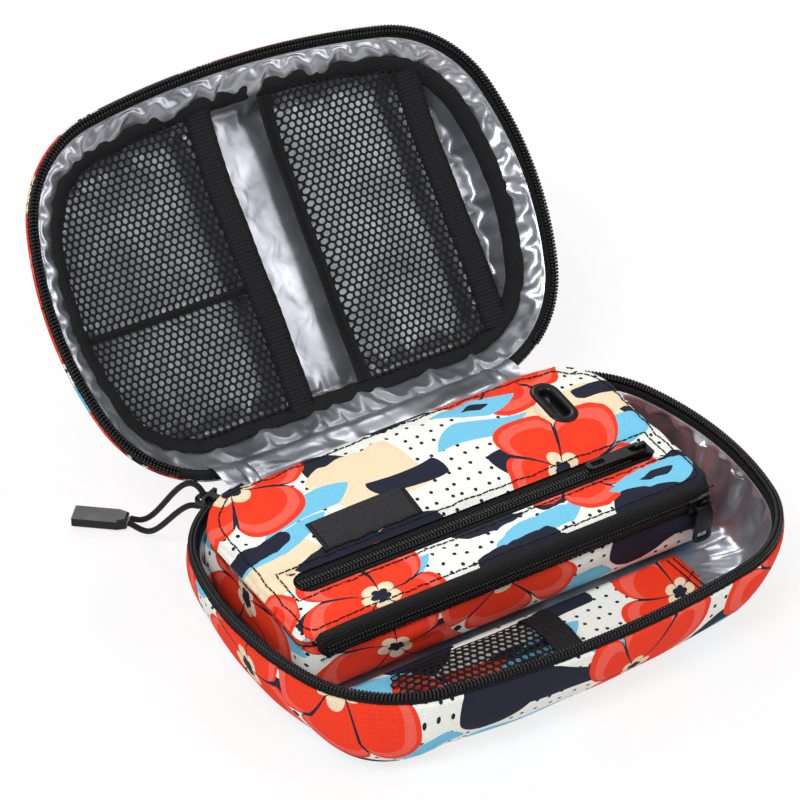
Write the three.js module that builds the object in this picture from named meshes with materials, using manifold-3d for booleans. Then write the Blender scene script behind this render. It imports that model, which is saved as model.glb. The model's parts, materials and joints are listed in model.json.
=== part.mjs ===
// Soft insulated travel case: a zipped tray and lid with mesh pockets, and a lift-out cooling pouch.
// Millimetres, +Z up. The origin is the centre of the underside, +X runs along the hinge, +Y points to it.
import * as THREE from 'three';
import { mergeVertices } from 'three/addons/utils/BufferGeometryUtils.js';
import Module from 'manifold-3d';

const wasm = await Module();
wasm.setup();

// Outline and layers of the case
const CASE_LENGTH = 245;
const CASE_WIDTH = 172;
const CORNER_RADIUS = 55;
const SIDE_BOW = 4;
const FRONT_BOW = 5.5;
const BASE_HEIGHT = 40;
const LID_DEPTH = 32;
const BASE_EDGE_RADIUS = 20;
const LID_EDGE_RADIUS = 22;
const WALL_STRAIGHT_LEAST = 1;
const WALL_CURL_ANGLE = 82;
const CANVAS = 1.2;
const FOAM = 4;
const LINING = 0.8;
const SEAM_GAP = 0.3;

// Zip round the rim
const TAPE_HEIGHT = 6;
const TAPE_TOP_WIDTH = 1.6;
const TAPE_END_ANGLE = 97;
const ZIP_END_ANGLE = 121;
const TOOTH_HEIGHT = 1.5;
const TOOTH_VALLEY = 0.5;
const TOOTH_WIDTH = 2.6;
const TOOTH_PITCH = 6;
const RIM_GAP = 0.5;

// Hinge
const LID_OPEN_ANGLE = 130;
const HINGE_BEHIND_WALL = 2.1;
const HINGE_BELOW_RIM = 4;
const HINGE_END_INSET = 2.5;
const HINGE_CANVAS_RISE = 9;
const HINGE_LINING_RISE = 14;
const HINGE_BINDING_WIDTH = 5;
const HINGE_BINDING_THICKNESS = 2.2;

// Mesh pockets of the lid
const POCKET_HEIGHT = 9;
const MESH = 0.8;
const MESH_PITCH = 15;
const MESH_GAP_LENGTH = 11.5;
const MESH_GAP_WIDTH = 9.2;
const MESH_BORDER = 3.5;
const BAND_WIDTH = 12;
const BAND = 1.4;
const LEFT_BAND_FROM_END = 102.5;
const RIGHT_BAND_FROM_END = 39.5;
const POCKETS_APART = 29;
const POCKET_SEAM = 2.4;
const DIVIDER_Y = -11;
const BINDING = 1.6;

// Pen pocket on the floor of the base
const PEN_PANEL_FROM_END = 44.5;
const PEN_PANEL_DEPTH = 62;
const PEN_PANEL_MARGIN = 0.6;
const PEN_POCKET_FROM_END = 52.5;
const PEN_POCKET_LENGTH = 78;
const PEN_POCKET_TAPER = 9;
const PEN_POCKET_FROM_FRONT = 26;
const PEN_POCKET_WIDTH = 32.5;
const PEN_POCKET_CROWN = 4.9;

// Lift-out pouch
const POUCH_END_ROOM = 22.5;
const POUCH_REAR_ROOM = 18;
const FRONT_WELL = 60;
const POUCH_X = -3;
const POUCH_FRONT_CORNER = 8;
const POUCH_REAR_CORNER = 18;
const POUCH_EDGE_RADIUS = 13;
const POUCH_SEAM_BELOW_RIM = 4.8;
const POUCH_TILT = 3.5;
const POUCH_GUSSET = 5;
const POUCH_GUSSET_THICKNESS = 1.4;
const POUCH_PANEL = 3.5;
const POUCH_PANEL_ROUND = 2.4;
const POUCH_PANEL_SHOULDER = 0.72;
const POUCH_INSULATION = 3;
const GEL_PACK_THICKNESS = 15;
const GEL_PACK_MARGIN = 2.5;
const GEL_PACK_ROUND = 5;
const POCKET_BAG = 1.2;
const POCKET_BAG_DEPTH = 44;
const GROMMET_FROM_END = 33;
const GROMMET_FROM_REAR = 18;
const GROMMET_LENGTH = 24;
const GROMMET_WIDTH = 11;
const GROMMET_RIM = 2.6;
const GROMMET_FLANGE = 1.2;
const LABEL_FROM_END = 56;
const LABEL_FROM_ZIP = 18;
const LABEL_LENGTH = 47;
const LABEL_WIDTH = 16;
const LABEL = 0.8;

// Zips of the pouch
const POCKET_ZIP_FROM_FRONT = 32;
const POCKET_ZIP_FROM_END = 12;
const POCKET_ZIP_SLOT = 9;
const POCKET_ZIP_RECESS = 1.5;
const ZIP_TAPE = 1.2;
const EDGE_ZIP_FROM_LEFT = 8;
const EDGE_ZIP_FROM_RIGHT = 3;
const CHAIN_WIDTH = 3.6;
const CHAIN_TOP_WIDTH = 2.52;
const CHAIN_HEIGHT = 1.3;
const CHAIN_VALLEY = 0.8;
const CHAIN_PITCH = 6;
const CHAIN_END = 3;
const POCKET_SLIDER_FROM_END = 6;
const EDGE_SLIDER_FROM_END = 9;

// Sliders and pulls of the pouch zips
const SLIDER_LENGTH = 10;
const SLIDER_MOUTH = 8;
const SLIDER_TAIL = 6.2;
const SLIDER_SHOULDER = 3;
const SLIDER_PLATE = 1.4;
const SLIDER_FLANGE = 0.9;
const SLIDER_CLEARANCE = 0.3;
const BAIL_LENGTH = 6;
const BAIL_BAR = 1;
const BAIL_WIDTH = 1.8;
const BAIL_OPENING = 2.2;
const PULL = 1.1;
const FLAT_PULL_LENGTH = 28;
const FLAT_PULL_WIDTH = 6.4;
const FLAT_PULL_TIP = 5.12;
const FLAT_PULL_SLOT = 2.56;
const FLAT_PULL_EYE = 4.7;
const DROP_PULL_LENGTH = 19.6;
const DROP_PULL_WIDTH = 9;
const DROP_PULL_HEAD = 2.6;
const DROP_PULL_EYE = 1.5;
const DROP_PULL_FOOT = 2.25;
const DROP_PULL_SLOT_WIDTH = 5.4;
const DROP_PULL_SLOT_HEIGHT = 3.15;
const PULL_CLEARANCE = 0.8;

// Slider, cord and grip of the rim zip
const MAIN_SLIDER_ANGLE = 114;
const MAIN_SLIDER_LENGTH = 9;
const MAIN_SLIDER_WAIST = 7.2;
const MAIN_SLIDER_GAP = 0.4;
const MAIN_SLIDER_HEIGHT = 8.4;
const MAIN_SLIDER_PLATE = 1.8;
const MAIN_SLIDER_BRIDGE = 3;
const MAIN_BAIL_OPENING = 4;
const MAIN_BAIL_BAR = 1.3;
const MAIN_BAIL_HEIGHT = 2;
const CORD_DIAMETER = 2.6;
const CORD_STEPS = 14;
const CORD_SIDES = 8;
const GRIP_LENGTH = 24;
const GRIP_WIDTH = 9.5;
const GRIP_NECK = 6.4;
const GRIP_TAPER = 4;
const GRIP_THICKNESS = 5.5;
const GRIP_SIDE = 4.8;
const GRIP_OUT = 49;
const GRIP_TURN = 25;
const GRIP_LIFT = 0.4;
const GRIP_EDGE = 0.8;

// Routes of the two cord strands, as side, out and up from the slider's place on a rim of this height
const CORD_RIM_HEIGHT = 40;
const UPPER_STRAND = [
  [0, 4, 36.3], [0, 4, 37.3], [0.1, 5, 39.3], [0.3, 6.9, 40.8], [0.6, 9.4, 41.2], [1.2, 12.6, 40],
  [2, 16.4, 37], [2.9, 20.4, 32.6], [3.8, 24.4, 27.4], [4.8, 28.4, 21.8], [5.7, 32.4, 16.2],
  [6.5, 36.4, 11], [7, 40.2, 6.9], [7.1, 43.6, 4.4], [6.9, 46.6, 3.4], [6.5, 49.2, 3.2],
];
const LOWER_STRAND = [
  [0, 4, 35.7], [0, 4, 34.7], [-0.1, 5, 32.7], [-0.1, 6.9, 31.2], [-0.1, 9.4, 30.6], [0, 12.6, 28.9],
  [0.2, 16.4, 25.4], [0.5, 20.4, 20.9], [0.9, 24.4, 16], [1.4, 28.4, 11.2], [1.9, 32.4, 7],
  [2.4, 36.4, 4.1], [2.8, 40.2, 3], [3.1, 43.4, 2.9], [3.3, 46, 3.1], [3.2, 47.8, 3.2],
];

// Worked out from the sizes above
const LEFT_BAND_X = LEFT_BAND_FROM_END - CASE_LENGTH / 2;
const RIGHT_BAND_X = CASE_LENGTH / 2 - RIGHT_BAND_FROM_END;
const RIGHT_SEAM_X = LEFT_BAND_X + BAND_WIDTH / 2 + POCKETS_APART;
const PEN_PANEL_RIGHT = CASE_LENGTH / 2 - PEN_PANEL_FROM_END;
const PEN_PANEL_REAR = PEN_PANEL_DEPTH - CASE_WIDTH / 2;
const PEN_POCKET_LEFT = PEN_POCKET_FROM_END - CASE_LENGTH / 2;
const PEN_BAND_X = PEN_POCKET_LEFT + PEN_POCKET_LENGTH - BAND_WIDTH / 2;
const PEN_POCKET_MIDDLE = PEN_POCKET_FROM_FRONT + PEN_POCKET_WIDTH / 2 - CASE_WIDTH / 2;
const POUCH_LENGTH = CASE_LENGTH - 2 * POUCH_END_ROOM;
const POUCH_DEPTH = CASE_WIDTH - POUCH_REAR_ROOM - FRONT_WELL;
const POUCH_Y = (FRONT_WELL - POUCH_REAR_ROOM) / 2;
const POUCH_SEAM_HEIGHT = BASE_HEIGHT - POUCH_SEAM_BELOW_RIM;
const GROMMET_X = POUCH_LENGTH / 2 - GROMMET_FROM_END;
const GROMMET_Y = POUCH_DEPTH / 2 - GROMMET_FROM_REAR;
const POCKET_ZIP_Y = POCKET_ZIP_FROM_FRONT - POUCH_DEPTH / 2;
const POCKET_ZIP_HALF = POUCH_LENGTH / 2 - POCKET_ZIP_FROM_END;
const POCKET_SLIDER_X = POCKET_ZIP_HALF - POCKET_SLIDER_FROM_END;
const LABEL_X = LABEL_FROM_END - POUCH_LENGTH / 2;
const LABEL_Y = POCKET_ZIP_Y + LABEL_FROM_ZIP;
const EDGE_ZIP_LEFT = EDGE_ZIP_FROM_LEFT - POUCH_LENGTH / 2;
const EDGE_ZIP_RIGHT = POUCH_LENGTH / 2 - EDGE_ZIP_FROM_RIGHT;
const EDGE_SLIDER_X = EDGE_ZIP_RIGHT - EDGE_SLIDER_FROM_END;
const WALL = CANVAS + FOAM + LINING + 2 * SEAM_GAP;
const RIM_BAND = TAPE_HEIGHT + TOOTH_HEIGHT + 2 * SEAM_GAP;
const POCKET_FLOOR = WALL + SEAM_GAP;
const MESH_LEVEL = WALL + POCKET_HEIGHT;
const HINGE_Y = CASE_WIDTH / 2 + HINGE_BEHIND_WALL;
const HINGE_Z = BASE_HEIGHT - HINGE_BELOW_RIM;
const LID_LEAN = THREE.MathUtils.degToRad(180 - LID_OPEN_ANGLE);
const LID_DROP = HINGE_BELOW_RIM + RIM_GAP + LID_DEPTH;
const PANEL_LEVEL = POUCH_GUSSET + 2 * SEAM_GAP;
const baseEdge = Math.min(BASE_EDGE_RADIUS, BASE_HEIGHT - RIM_BAND - WALL_STRAIGHT_LEAST);
const lidEdge = Math.min(LID_EDGE_RADIUS, LID_DEPTH - RIM_BAND - WALL_STRAIGHT_LEAST);

// Plan of the rim: a straight hinge side, round corners, bowed ends and front
const cornerX = CASE_LENGTH / 2 - CORNER_RADIUS - SIDE_BOW;
const halfSide = (CASE_WIDTH - 2 * CORNER_RADIUS - FRONT_BOW) / 2;
const sideReach = (halfSide ** 2 + SIDE_BOW ** 2) / (2 * SIDE_BOW);
const frontReach = (cornerX ** 2 + FRONT_BOW ** 2) / (2 * FRONT_BOW);
const sideAngle = Math.atan2(halfSide, sideReach - SIDE_BOW);
const frontAngle = Math.atan2(cornerX, frontReach - FRONT_BOW);
const rearCornerY = CASE_WIDTH / 2 - CORNER_RADIUS;
const frontCornerY = rearCornerY - 2 * halfSide;

const arc = (x, y, radius, from, to, steps) => ({ x, y, radius, from, to, steps });

// The arcs run from the rear left corner, past the left end and the front, to the rear right corner
function rimArcs(start = Math.PI / 2) {
  const endX = CASE_LENGTH / 2 - sideReach - CORNER_RADIUS;
  const endY = rearCornerY - halfSide;
  const frontCentreY = frontCornerY + frontReach - FRONT_BOW;
  const half = Math.PI;
  return [
    arc(-cornerX, rearCornerY, CORNER_RADIUS, start, half - sideAngle, 6),
    arc(-endX, endY, sideReach + CORNER_RADIUS, half - sideAngle, half + sideAngle, 2),
    arc(-cornerX, frontCornerY, CORNER_RADIUS, half + sideAngle, 1.5 * half - frontAngle, 6),
    arc(0, frontCentreY, frontReach + CORNER_RADIUS, 1.5 * half - frontAngle, 1.5 * half + frontAngle, 4),
    arc(cornerX, frontCornerY, CORNER_RADIUS, 1.5 * half + frontAngle, 2 * half - sideAngle, 6),
    arc(endX, endY, sideReach + CORNER_RADIUS, 2 * half - sideAngle, 2 * half + sideAngle, 2),
    arc(cornerX, rearCornerY, CORNER_RADIUS, 2 * half + sideAngle, 3 * half - start, 6),
  ];
}

function arcPoint(part, angle, inset) {
  const reach = part.radius - inset;
  return new THREE.Vector2(part.x + reach * Math.cos(angle), part.y + reach * Math.sin(angle));
}

// The whole outline, drawn in by an inset; facing 1 has the hinge side at +Y and -1 has it at -Y
function casePlan(inset, facing = 1) {
  const points = [];
  const arcs = rimArcs();
  for (const part of arcs) {
    for (let step = 0; step < part.steps; step++) {
      points.push(arcPoint(part, THREE.MathUtils.lerp(part.from, part.to, step / part.steps), inset));
    }
  }
  points.push(arcPoint(arcs.at(-1), arcs.at(-1).to, inset));
  for (const point of points) point.y *= facing;
  return facing > 0 ? points : points.reverse();
}

// Evenly spaced places along the rim between its two ends, each with the way that points out
function rimStations(startAngle, spacing) {
  const arcs = rimArcs(THREE.MathUtils.degToRad(startAngle));
  const lengths = arcs.map((part) => part.radius * (part.to - part.from));
  const total = lengths.reduce((sum, length) => sum + length, 0);
  const count = 2 * Math.round(total / spacing / 2);
  const stations = [];
  for (let k = 0; k <= count; k++) {
    let along = (total * k) / count;
    let i = 0;
    while (i < arcs.length - 1 && along > lengths[i]) {
      along -= lengths[i];
      i++;
    }
    const angle = arcs[i].from + along / arcs[i].radius;
    const out = new THREE.Vector2(Math.cos(angle), Math.sin(angle));
    stations.push({ place: arcPoint(arcs[i], angle, 0), out });
  }
  return stations;
}

// A closed body from its vertices and faces, turned so that the faces point out
function body(points, faces) {
  const volume = faces.reduce((sum, [a, b, c]) => sum + points[a].dot(points[b].clone().cross(points[c])), 0);
  const index = faces.flatMap(([a, b, c]) => (volume > 0 ? [a, b, c] : [a, c, b]));
  const geometry = new THREE.BufferGeometry().setFromPoints(points);
  geometry.setIndex(index);
  return geometry;
}

// Faces that fill a flat loop, turning the way the loop turns
function fill(loop) {
  const normal = new THREE.Vector3();
  loop.forEach((point, i) => normal.add(point.clone().cross(loop[(i + 1) % loop.length])));
  const size = [Math.abs(normal.x), Math.abs(normal.y), Math.abs(normal.z)];
  const drop = size.indexOf(Math.max(...size));
  const [u, v] = [['y', 'z'], ['z', 'x'], ['x', 'y']][drop];
  const flat = loop.map((point) => new THREE.Vector2(point[u], point[v]));
  const turn = Math.sign(THREE.ShapeUtils.area(flat));
  return THREE.ShapeUtils.triangulateShape(flat, []).map(([a, b, c]) => {
    const face = flat[b].clone().sub(flat[a]).cross(flat[c].clone().sub(flat[a]));
    return face * turn > 0 ? [a, b, c] : [a, c, b];
  });
}

// A skin over a row of loops: joined end to end as a ring, or filled at both ends
function skin(loops, joined) {
  const count = loops[0].length;
  const faces = [];
  const spans = joined ? loops.length : loops.length - 1;
  for (let row = 0; row < spans; row++) {
    const next = (row + 1) % loops.length;
    for (let i = 0; i < count; i++) {
      const j = (i + 1) % count;
      const corners = [row * count + i, row * count + j, next * count + j, next * count + i];
      faces.push([corners[0], corners[1], corners[2]], [corners[0], corners[2], corners[3]]);
    }
  }
  if (!joined) {
    const end = (loops.length - 1) * count;
    fill(loops[0]).forEach(([a, b, c]) => faces.push([a, c, b]));
    fill(loops.at(-1)).forEach(([a, b, c]) => faces.push([end + a, end + b, end + c]));
  }
  return body(loops.flat(), faces);
}

const level = (outline, z) => outline.map((point) => new THREE.Vector3(point.x, point.y, z));

// A flat piece of even thickness, with any holes
function plate(outline, bottom, thickness, holes = []) {
  const settings = { depth: thickness, bevelEnabled: false };
  const geometry = new THREE.ExtrudeGeometry(new THREE.Shape(outline), settings).translate(0, 0, bottom);
  const tools = holes.map((hole) => plate(hole, bottom - thickness, 3 * thickness));
  return tools.length ? cut(geometry, ...tools) : geometry;
}

// Joins and cuts of closed bodies
function solid(geometry) {
  const plain = geometry.clone();
  plain.deleteAttribute('normal');
  plain.deleteAttribute('uv');
  const merged = mergeVertices(plain, 1e-4);
  const vertProperties = new Float32Array(merged.attributes.position.array);
  const triVerts = new Uint32Array(merged.index.array);
  return new wasm.Manifold(new wasm.Mesh({ numProp: 3, vertProperties, triVerts }));
}

function surface(manifold) {
  const mesh = manifold.getMesh();
  const geometry = new THREE.BufferGeometry();
  geometry.setAttribute('position', new THREE.BufferAttribute(mesh.vertProperties, 3));
  return geometry.setIndex(new THREE.BufferAttribute(mesh.triVerts, 1));
}

function join(...pieces) {
  return surface(pieces.map(solid).reduce((sum, piece) => sum.add(piece)));
}

function cut(piece, ...tools) {
  return surface(tools.map(solid).reduce((rest, tool) => rest.subtract(tool), solid(piece)));
}

const box = (x0, x1, y0, y1, z0, z1) => {
  const geometry = new THREE.BoxGeometry(x1 - x0, y1 - y0, z1 - z0);
  return geometry.translate((x0 + x1) / 2, (y0 + y1) / 2, (z0 + z1) / 2);
};

const finish = (color, roughness, metalness = 0) => ({ color, roughness, metalness });
const PRINT = finish(0xd9533c, 0.85);
const SILVER = finish(0xa9abb3, 0.35, 0.6);
const FOAM_GREY = finish(0x8c8f94, 0.95);
const BLACK_TAPE = finish(0x141417, 0.85);
const BLACK_MESH = finish(0x101013, 0.9);
const BLACK_MOULDED = finish(0x0f0f12, 0.45);
const GEL = finish(0x8fc4dd, 0.3);

function addPart(group, name, geometry, look) {
  const mesh = new THREE.Mesh(geometry, new THREE.MeshStandardMaterial(look));
  mesh.name = name;
  group.add(mesh);
}

// Layers of one tray of the case, in a frame that stands on the tray's outer panel
const edgeEnd = THREE.MathUtils.degToRad(WALL_CURL_ANGLE);
const edgePoint = (edge, reach, angle) => ({
  inset: edge - reach * Math.cos(angle),
  z: edge - reach * Math.sin(angle),
});

// Steps down the rounded edge between wall and floor; a tray's skin goes on to the floor
function edgeCurve(edge, reach, toFloor) {
  const steps = [0, 1, 2, 3].map((k) => (edgeEnd * k) / 3);
  const angles = toFloor ? [...steps, Math.PI / 2] : steps;
  return angles.map((angle) => edgePoint(edge, reach, angle));
}

// A wall strip between two depths below the outer face, curved in under the tray
function wallStrip(edge, outer, inner, top, facing) {
  const outside = edgeCurve(edge, edge - outer, false);
  const inside = edgeCurve(edge, edge - inner, false).reverse();
  const profile = [{ inset: outer, z: top }, ...outside, ...inside, { inset: inner, z: top }];
  return skin(profile.map((point) => level(casePlan(point.inset, facing), point.z)), true);
}

function liningTray(edge, top, facing) {
  const outer = WALL - LINING;
  const outside = edgeCurve(edge, edge - outer, true).reverse();
  const inside = edgeCurve(edge, edge - WALL, true);
  const profile = [...outside, { inset: outer, z: top }, { inset: WALL, z: top }, ...inside];
  return skin(profile.map((point) => level(casePlan(point.inset, facing), point.z)), false);
}

// The tape is sewn over the full wall and narrows to the teeth on its top edge
function zipTape(wallTop, facing) {
  const middle = WALL / 2;
  const foot = wallTop + SEAM_GAP;
  const section = [
    { inset: SEAM_GAP, z: foot },
    { inset: WALL - SEAM_GAP, z: foot },
    { inset: middle + TAPE_TOP_WIDTH / 2, z: foot + TAPE_HEIGHT },
    { inset: middle - TAPE_TOP_WIDTH / 2, z: foot + TAPE_HEIGHT },
  ];
  return alongRim(rimStations(TAPE_END_ANGLE, 2 * TOOTH_PITCH), () => section, facing);
}

function zipTeeth(tips, facing) {
  const foot = tips - TOOTH_HEIGHT;
  const middle = WALL / 2;
  const section = (k) => [
    { inset: middle - TOOTH_WIDTH / 2, z: foot },
    { inset: middle + TOOTH_WIDTH / 2, z: foot },
    { inset: middle, z: foot + (k % 2 ? TOOTH_HEIGHT : TOOTH_VALLEY) },
  ];
  return alongRim(rimStations(ZIP_END_ANGLE, TOOTH_PITCH / 2), section, facing);
}

function alongRim(stations, section, facing) {
  const loops = stations.map(({ place, out }, k) =>
    section(k).map(({ inset, z }) => {
      const point = place.clone().addScaledVector(out, -inset);
      return new THREE.Vector3(point.x, point.y * facing, z);
    }),
  );
  return skin(loops, false);
}

function addTray(group, names, height, edge, facing) {
  const top = height - RIM_BAND;
  const panelInset = edgePoint(edge, edge, edgeEnd).inset + SEAM_GAP;
  const padInset = edgePoint(edge, edge - CANVAS - SEAM_GAP - FOAM, edgeEnd).inset + SEAM_GAP;
  const foamOut = CANVAS + SEAM_GAP;
  const foamIn = foamOut + FOAM;
  addPart(group, names.panel, plate(casePlan(panelInset, facing), 0, CANVAS), PRINT);
  addPart(group, names.wall, wallStrip(edge, 0, CANVAS, top, facing), PRINT);
  addPart(group, names.pad, plate(casePlan(padInset, facing), foamOut, FOAM), FOAM_GREY);
  addPart(group, names.foam, wallStrip(edge, foamOut, foamIn, top, facing), FOAM_GREY);
  addPart(group, names.lining, liningTray(edge, top, facing), SILVER);
  addPart(group, names.tape, zipTape(top, facing), BLACK_TAPE);
  addPart(group, names.teeth, zipTeeth(height, facing), BLACK_MOULDED);
}

// Base tray
const travelCase = new THREE.Group();
addTray(
  travelCase,
  {
    panel: 'base_bottom_panel',
    wall: 'base_wall_panel',
    pad: 'base_floor_foam',
    foam: 'base_wall_foam',
    lining: 'base_lining',
    tape: 'base_zip_tape',
    teeth: 'base_zip_teeth',
  },
  BASE_HEIGHT,
  baseEdge,
  1,
);

// Lid tray, hinged behind the rear wall and standing open
const lidHinge = new THREE.Group();
lidHinge.position.set(0, HINGE_Y, HINGE_Z);
lidHinge.rotation.x = LID_LEAN;
travelCase.add(lidHinge);
const lid = new THREE.Group();
lid.position.set(0, HINGE_BEHIND_WALL + CASE_WIDTH / 2, -LID_DROP);
lidHinge.add(lid);
addTray(
  lid,
  {
    panel: 'lid_top_panel',
    wall: 'lid_wall_panel',
    pad: 'lid_top_foam',
    foam: 'lid_wall_foam',
    lining: 'lid_lining',
    tape: 'lid_zip_tape',
    teeth: 'lid_zip_teeth',
  },
  LID_DEPTH,
  lidEdge,
  -1,
);

// The part of a convex outline between two values of one coordinate
function between(outline, axis, low, high) {
  const inside = [];
  outline.forEach((point, i) => {
    const next = outline[(i + 1) % outline.length];
    if (point[axis] > low && point[axis] < high) inside.push(point);
    const crossings = [low, high].filter((limit) => (point[axis] - limit) * (next[axis] - limit) < 0);
    crossings.sort((a, b) => (a - b) * (next[axis] - point[axis]));
    for (const limit of crossings) {
      inside.push(point.clone().lerp(next, (limit - point[axis]) / (next[axis] - point[axis])));
    }
  });
  return inside;
}

function holds(outline, point) {
  return outline.every((corner, i) => {
    const edge = outline[(i + 1) % outline.length].clone().sub(corner);
    return edge.cross(point.clone().sub(corner)) > 0;
  });
}

// Diamond gaps in staggered rows, as far as they fit inside an outline
function meshGaps(outline) {
  const gaps = [];
  const halfLength = MESH_GAP_LENGTH / 2;
  const halfWidth = MESH_GAP_WIDTH / 2;
  const rowStep = MESH_PITCH / 2;
  const reach = CASE_LENGTH / 2;
  for (let row = -Math.ceil(reach / rowStep); row * rowStep < reach; row++) {
    const shift = row % 2 ? MESH_PITCH / 2 : 0;
    for (let x = -Math.ceil(reach / MESH_PITCH) * MESH_PITCH + shift; x < reach; x += MESH_PITCH) {
      const y = row * rowStep;
      const tips = [[halfLength, 0], [0, halfWidth], [-halfLength, 0], [0, -halfWidth]];
      const gap = tips.map(([dx, dy]) => new THREE.Vector2(x + dx, y + dy));
      if (gap.every((tip) => holds(outline, tip))) gaps.push(gap);
    }
  }
  return gaps;
}

// Binding over the seam between the lid's wall and floor, on the middle step of the rounded edge
const bindingOuter = lidEdge - WALL - SEAM_GAP;
const bindingInner = bindingOuter - BINDING;
const bindingFrom = edgeEnd / 3;
const bindingTo = 2 * bindingFrom;

function lidBinding() {
  const profile = [
    edgePoint(lidEdge, bindingOuter, bindingFrom),
    edgePoint(lidEdge, bindingOuter, bindingTo),
    edgePoint(lidEdge, bindingInner, bindingTo),
    edgePoint(lidEdge, bindingInner, bindingFrom),
  ];
  return skin(profile.map(({ inset, z }) => level(casePlan(inset, -1), z)), true);
}

// The pockets' mesh is sewn in against the binding, at pocket height
const bandLevel = MESH_LEVEL - (BAND - MESH) / 2;
const meshInset = (() => {
  const high = edgePoint(lidEdge, bindingInner, bindingFrom);
  const low = edgePoint(lidEdge, bindingInner, bindingTo);
  return THREE.MathUtils.mapLinear(bandLevel, low.z, high.z, low.inset, high.inset) + SEAM_GAP;
})();

function meshPocket(left, right) {
  const outline = between(casePlan(meshInset, -1), 'x', left, right);
  const field = between(casePlan(meshInset + MESH_BORDER, -1), 'x', left + MESH_BORDER, right - MESH_BORDER);
  return plate(outline, MESH_LEVEL, MESH, meshGaps(field));
}

function elasticBand(x) {
  const outline = between(casePlan(meshInset, -1), 'x', x - BAND_WIDTH / 2, x + BAND_WIDTH / 2);
  return plate(outline, bandLevel, BAND);
}

// Sewn seams hold the mesh to the floor where a pocket ends inside the lid
const seamTop = bandLevel - SEAM_GAP;
const seamHalfLength = CASE_WIDTH / 2 - lidEdge;

const leftBandEdge = LEFT_BAND_X - BAND_WIDTH / 2 - SEAM_GAP;
const rightBandEdge = RIGHT_BAND_X - BAND_WIDTH / 2 - SEAM_GAP;
const floorLeft = lidEdge - CASE_LENGTH / 2 + SIDE_BOW;
const halfSeam = POCKET_SEAM / 2;
addPart(lid, 'lid_binding', lidBinding(), BLACK_TAPE);
addPart(lid, 'left_pocket_mesh', meshPocket(-CASE_LENGTH, leftBandEdge), BLACK_MESH);
addPart(lid, 'left_pocket_band', elasticBand(LEFT_BAND_X), BLACK_TAPE);
addPart(
  lid,
  'left_pocket_divider',
  box(floorLeft, leftBandEdge, DIVIDER_Y - halfSeam, DIVIDER_Y + halfSeam, POCKET_FLOOR, seamTop),
  BLACK_TAPE,
);
addPart(lid, 'right_pocket_mesh', meshPocket(RIGHT_SEAM_X, rightBandEdge), BLACK_MESH);
addPart(lid, 'right_pocket_band', elasticBand(RIGHT_BAND_X), BLACK_TAPE);
addPart(
  lid,
  'right_pocket_seam',
  box(RIGHT_SEAM_X, RIGHT_SEAM_X + POCKET_SEAM, -seamHalfLength, seamHalfLength, POCKET_FLOOR, seamTop),
  BLACK_TAPE,
);

// Hinge: a canvas strip and its lining arch over from the rear wall of the base to that of the lid
function lidPlace(inset, height) {
  const flat = new THREE.Vector2(HINGE_BEHIND_WALL + inset, height - LID_DROP);
  return flat.rotateAround(new THREE.Vector2(0, 0), LID_LEAN).add(new THREE.Vector2(HINGE_Y, HINGE_Z));
}

function hingeStrip(inset, thickness, rise, from, to) {
  const start = new THREE.Vector2(CASE_WIDTH / 2 - inset, BASE_HEIGHT - RIM_BAND + SEAM_GAP);
  const end = lidPlace(inset, LID_DEPTH - RIM_BAND + SEAM_GAP);
  const upLid = new THREE.Vector2(-Math.sin(LID_LEAN), Math.cos(LID_LEAN));
  const startLift = start.clone().add(new THREE.Vector2(0, rise));
  const endLift = end.clone().addScaledVector(upLid, rise);
  const curve = new THREE.CubicBezierCurve(start, startLift, endLift, end);
  const sides = [1, -1].map((side) =>
    Array.from({ length: 9 }, (_, k) => {
      const along = curve.getTangent(k / 8);
      const across = new THREE.Vector2(-along.y, along.x);
      return curve.getPoint(k / 8).addScaledVector(across, (side * thickness) / 2);
    }),
  );
  const shape = new THREE.Shape([...sides[0], ...sides[1].reverse()]);
  const geometry = new THREE.ExtrudeGeometry(shape, { depth: to - from, bevelEnabled: false });
  const turn = new THREE.Matrix4().makeBasis(
    new THREE.Vector3(0, 1, 0),
    new THREE.Vector3(0, 0, 1),
    new THREE.Vector3(1, 0, 0),
  );
  return geometry.applyMatrix4(turn).translate(from, 0, 0);
}

const hingeEnd = cornerX - HINGE_END_INSET;
const liningInset = WALL - LINING / 2;
const hingeCanvas = hingeStrip(CANVAS / 2, CANVAS, HINGE_CANVAS_RISE, -hingeEnd, hingeEnd);
const hingeLining = hingeStrip(liningInset, LINING, HINGE_LINING_RISE, -hingeEnd, hingeEnd);
addPart(travelCase, 'hinge_panel', hingeCanvas, PRINT);
addPart(travelCase, 'hinge_lining', hingeLining, SILVER);
for (const [name, start] of [
  ['hinge_binding_left', -hingeEnd - SEAM_GAP - HINGE_BINDING_WIDTH],
  ['hinge_binding_right', hingeEnd + SEAM_GAP],
]) {
  const end = start + HINGE_BINDING_WIDTH;
  const strip = hingeStrip(liningInset, HINGE_BINDING_THICKNESS, HINGE_LINING_RISE, start, end);
  addPart(travelCase, name, strip, SILVER);
}

// Pen pocket: an arched mesh sleeve with an elastic mouth, sewn on a canvas panel along the front
function penArch(x, crown, thickness) {
  const bottom = POCKET_FLOOR + CANVAS + SEAM_GAP;
  const half = PEN_POCKET_WIDTH / 2;
  const arch = (width, height) =>
    Array.from({ length: 7 }, (_, k) => {
      const angle = (Math.PI * k) / 6;
      const rise = height * Math.sqrt(Math.abs(Math.sin(angle)));
      return new THREE.Vector3(x, PEN_POCKET_MIDDLE - width * Math.cos(angle), bottom + rise);
    });
  return [...arch(half, crown + thickness), ...arch(half - thickness, crown).reverse()];
}

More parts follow.
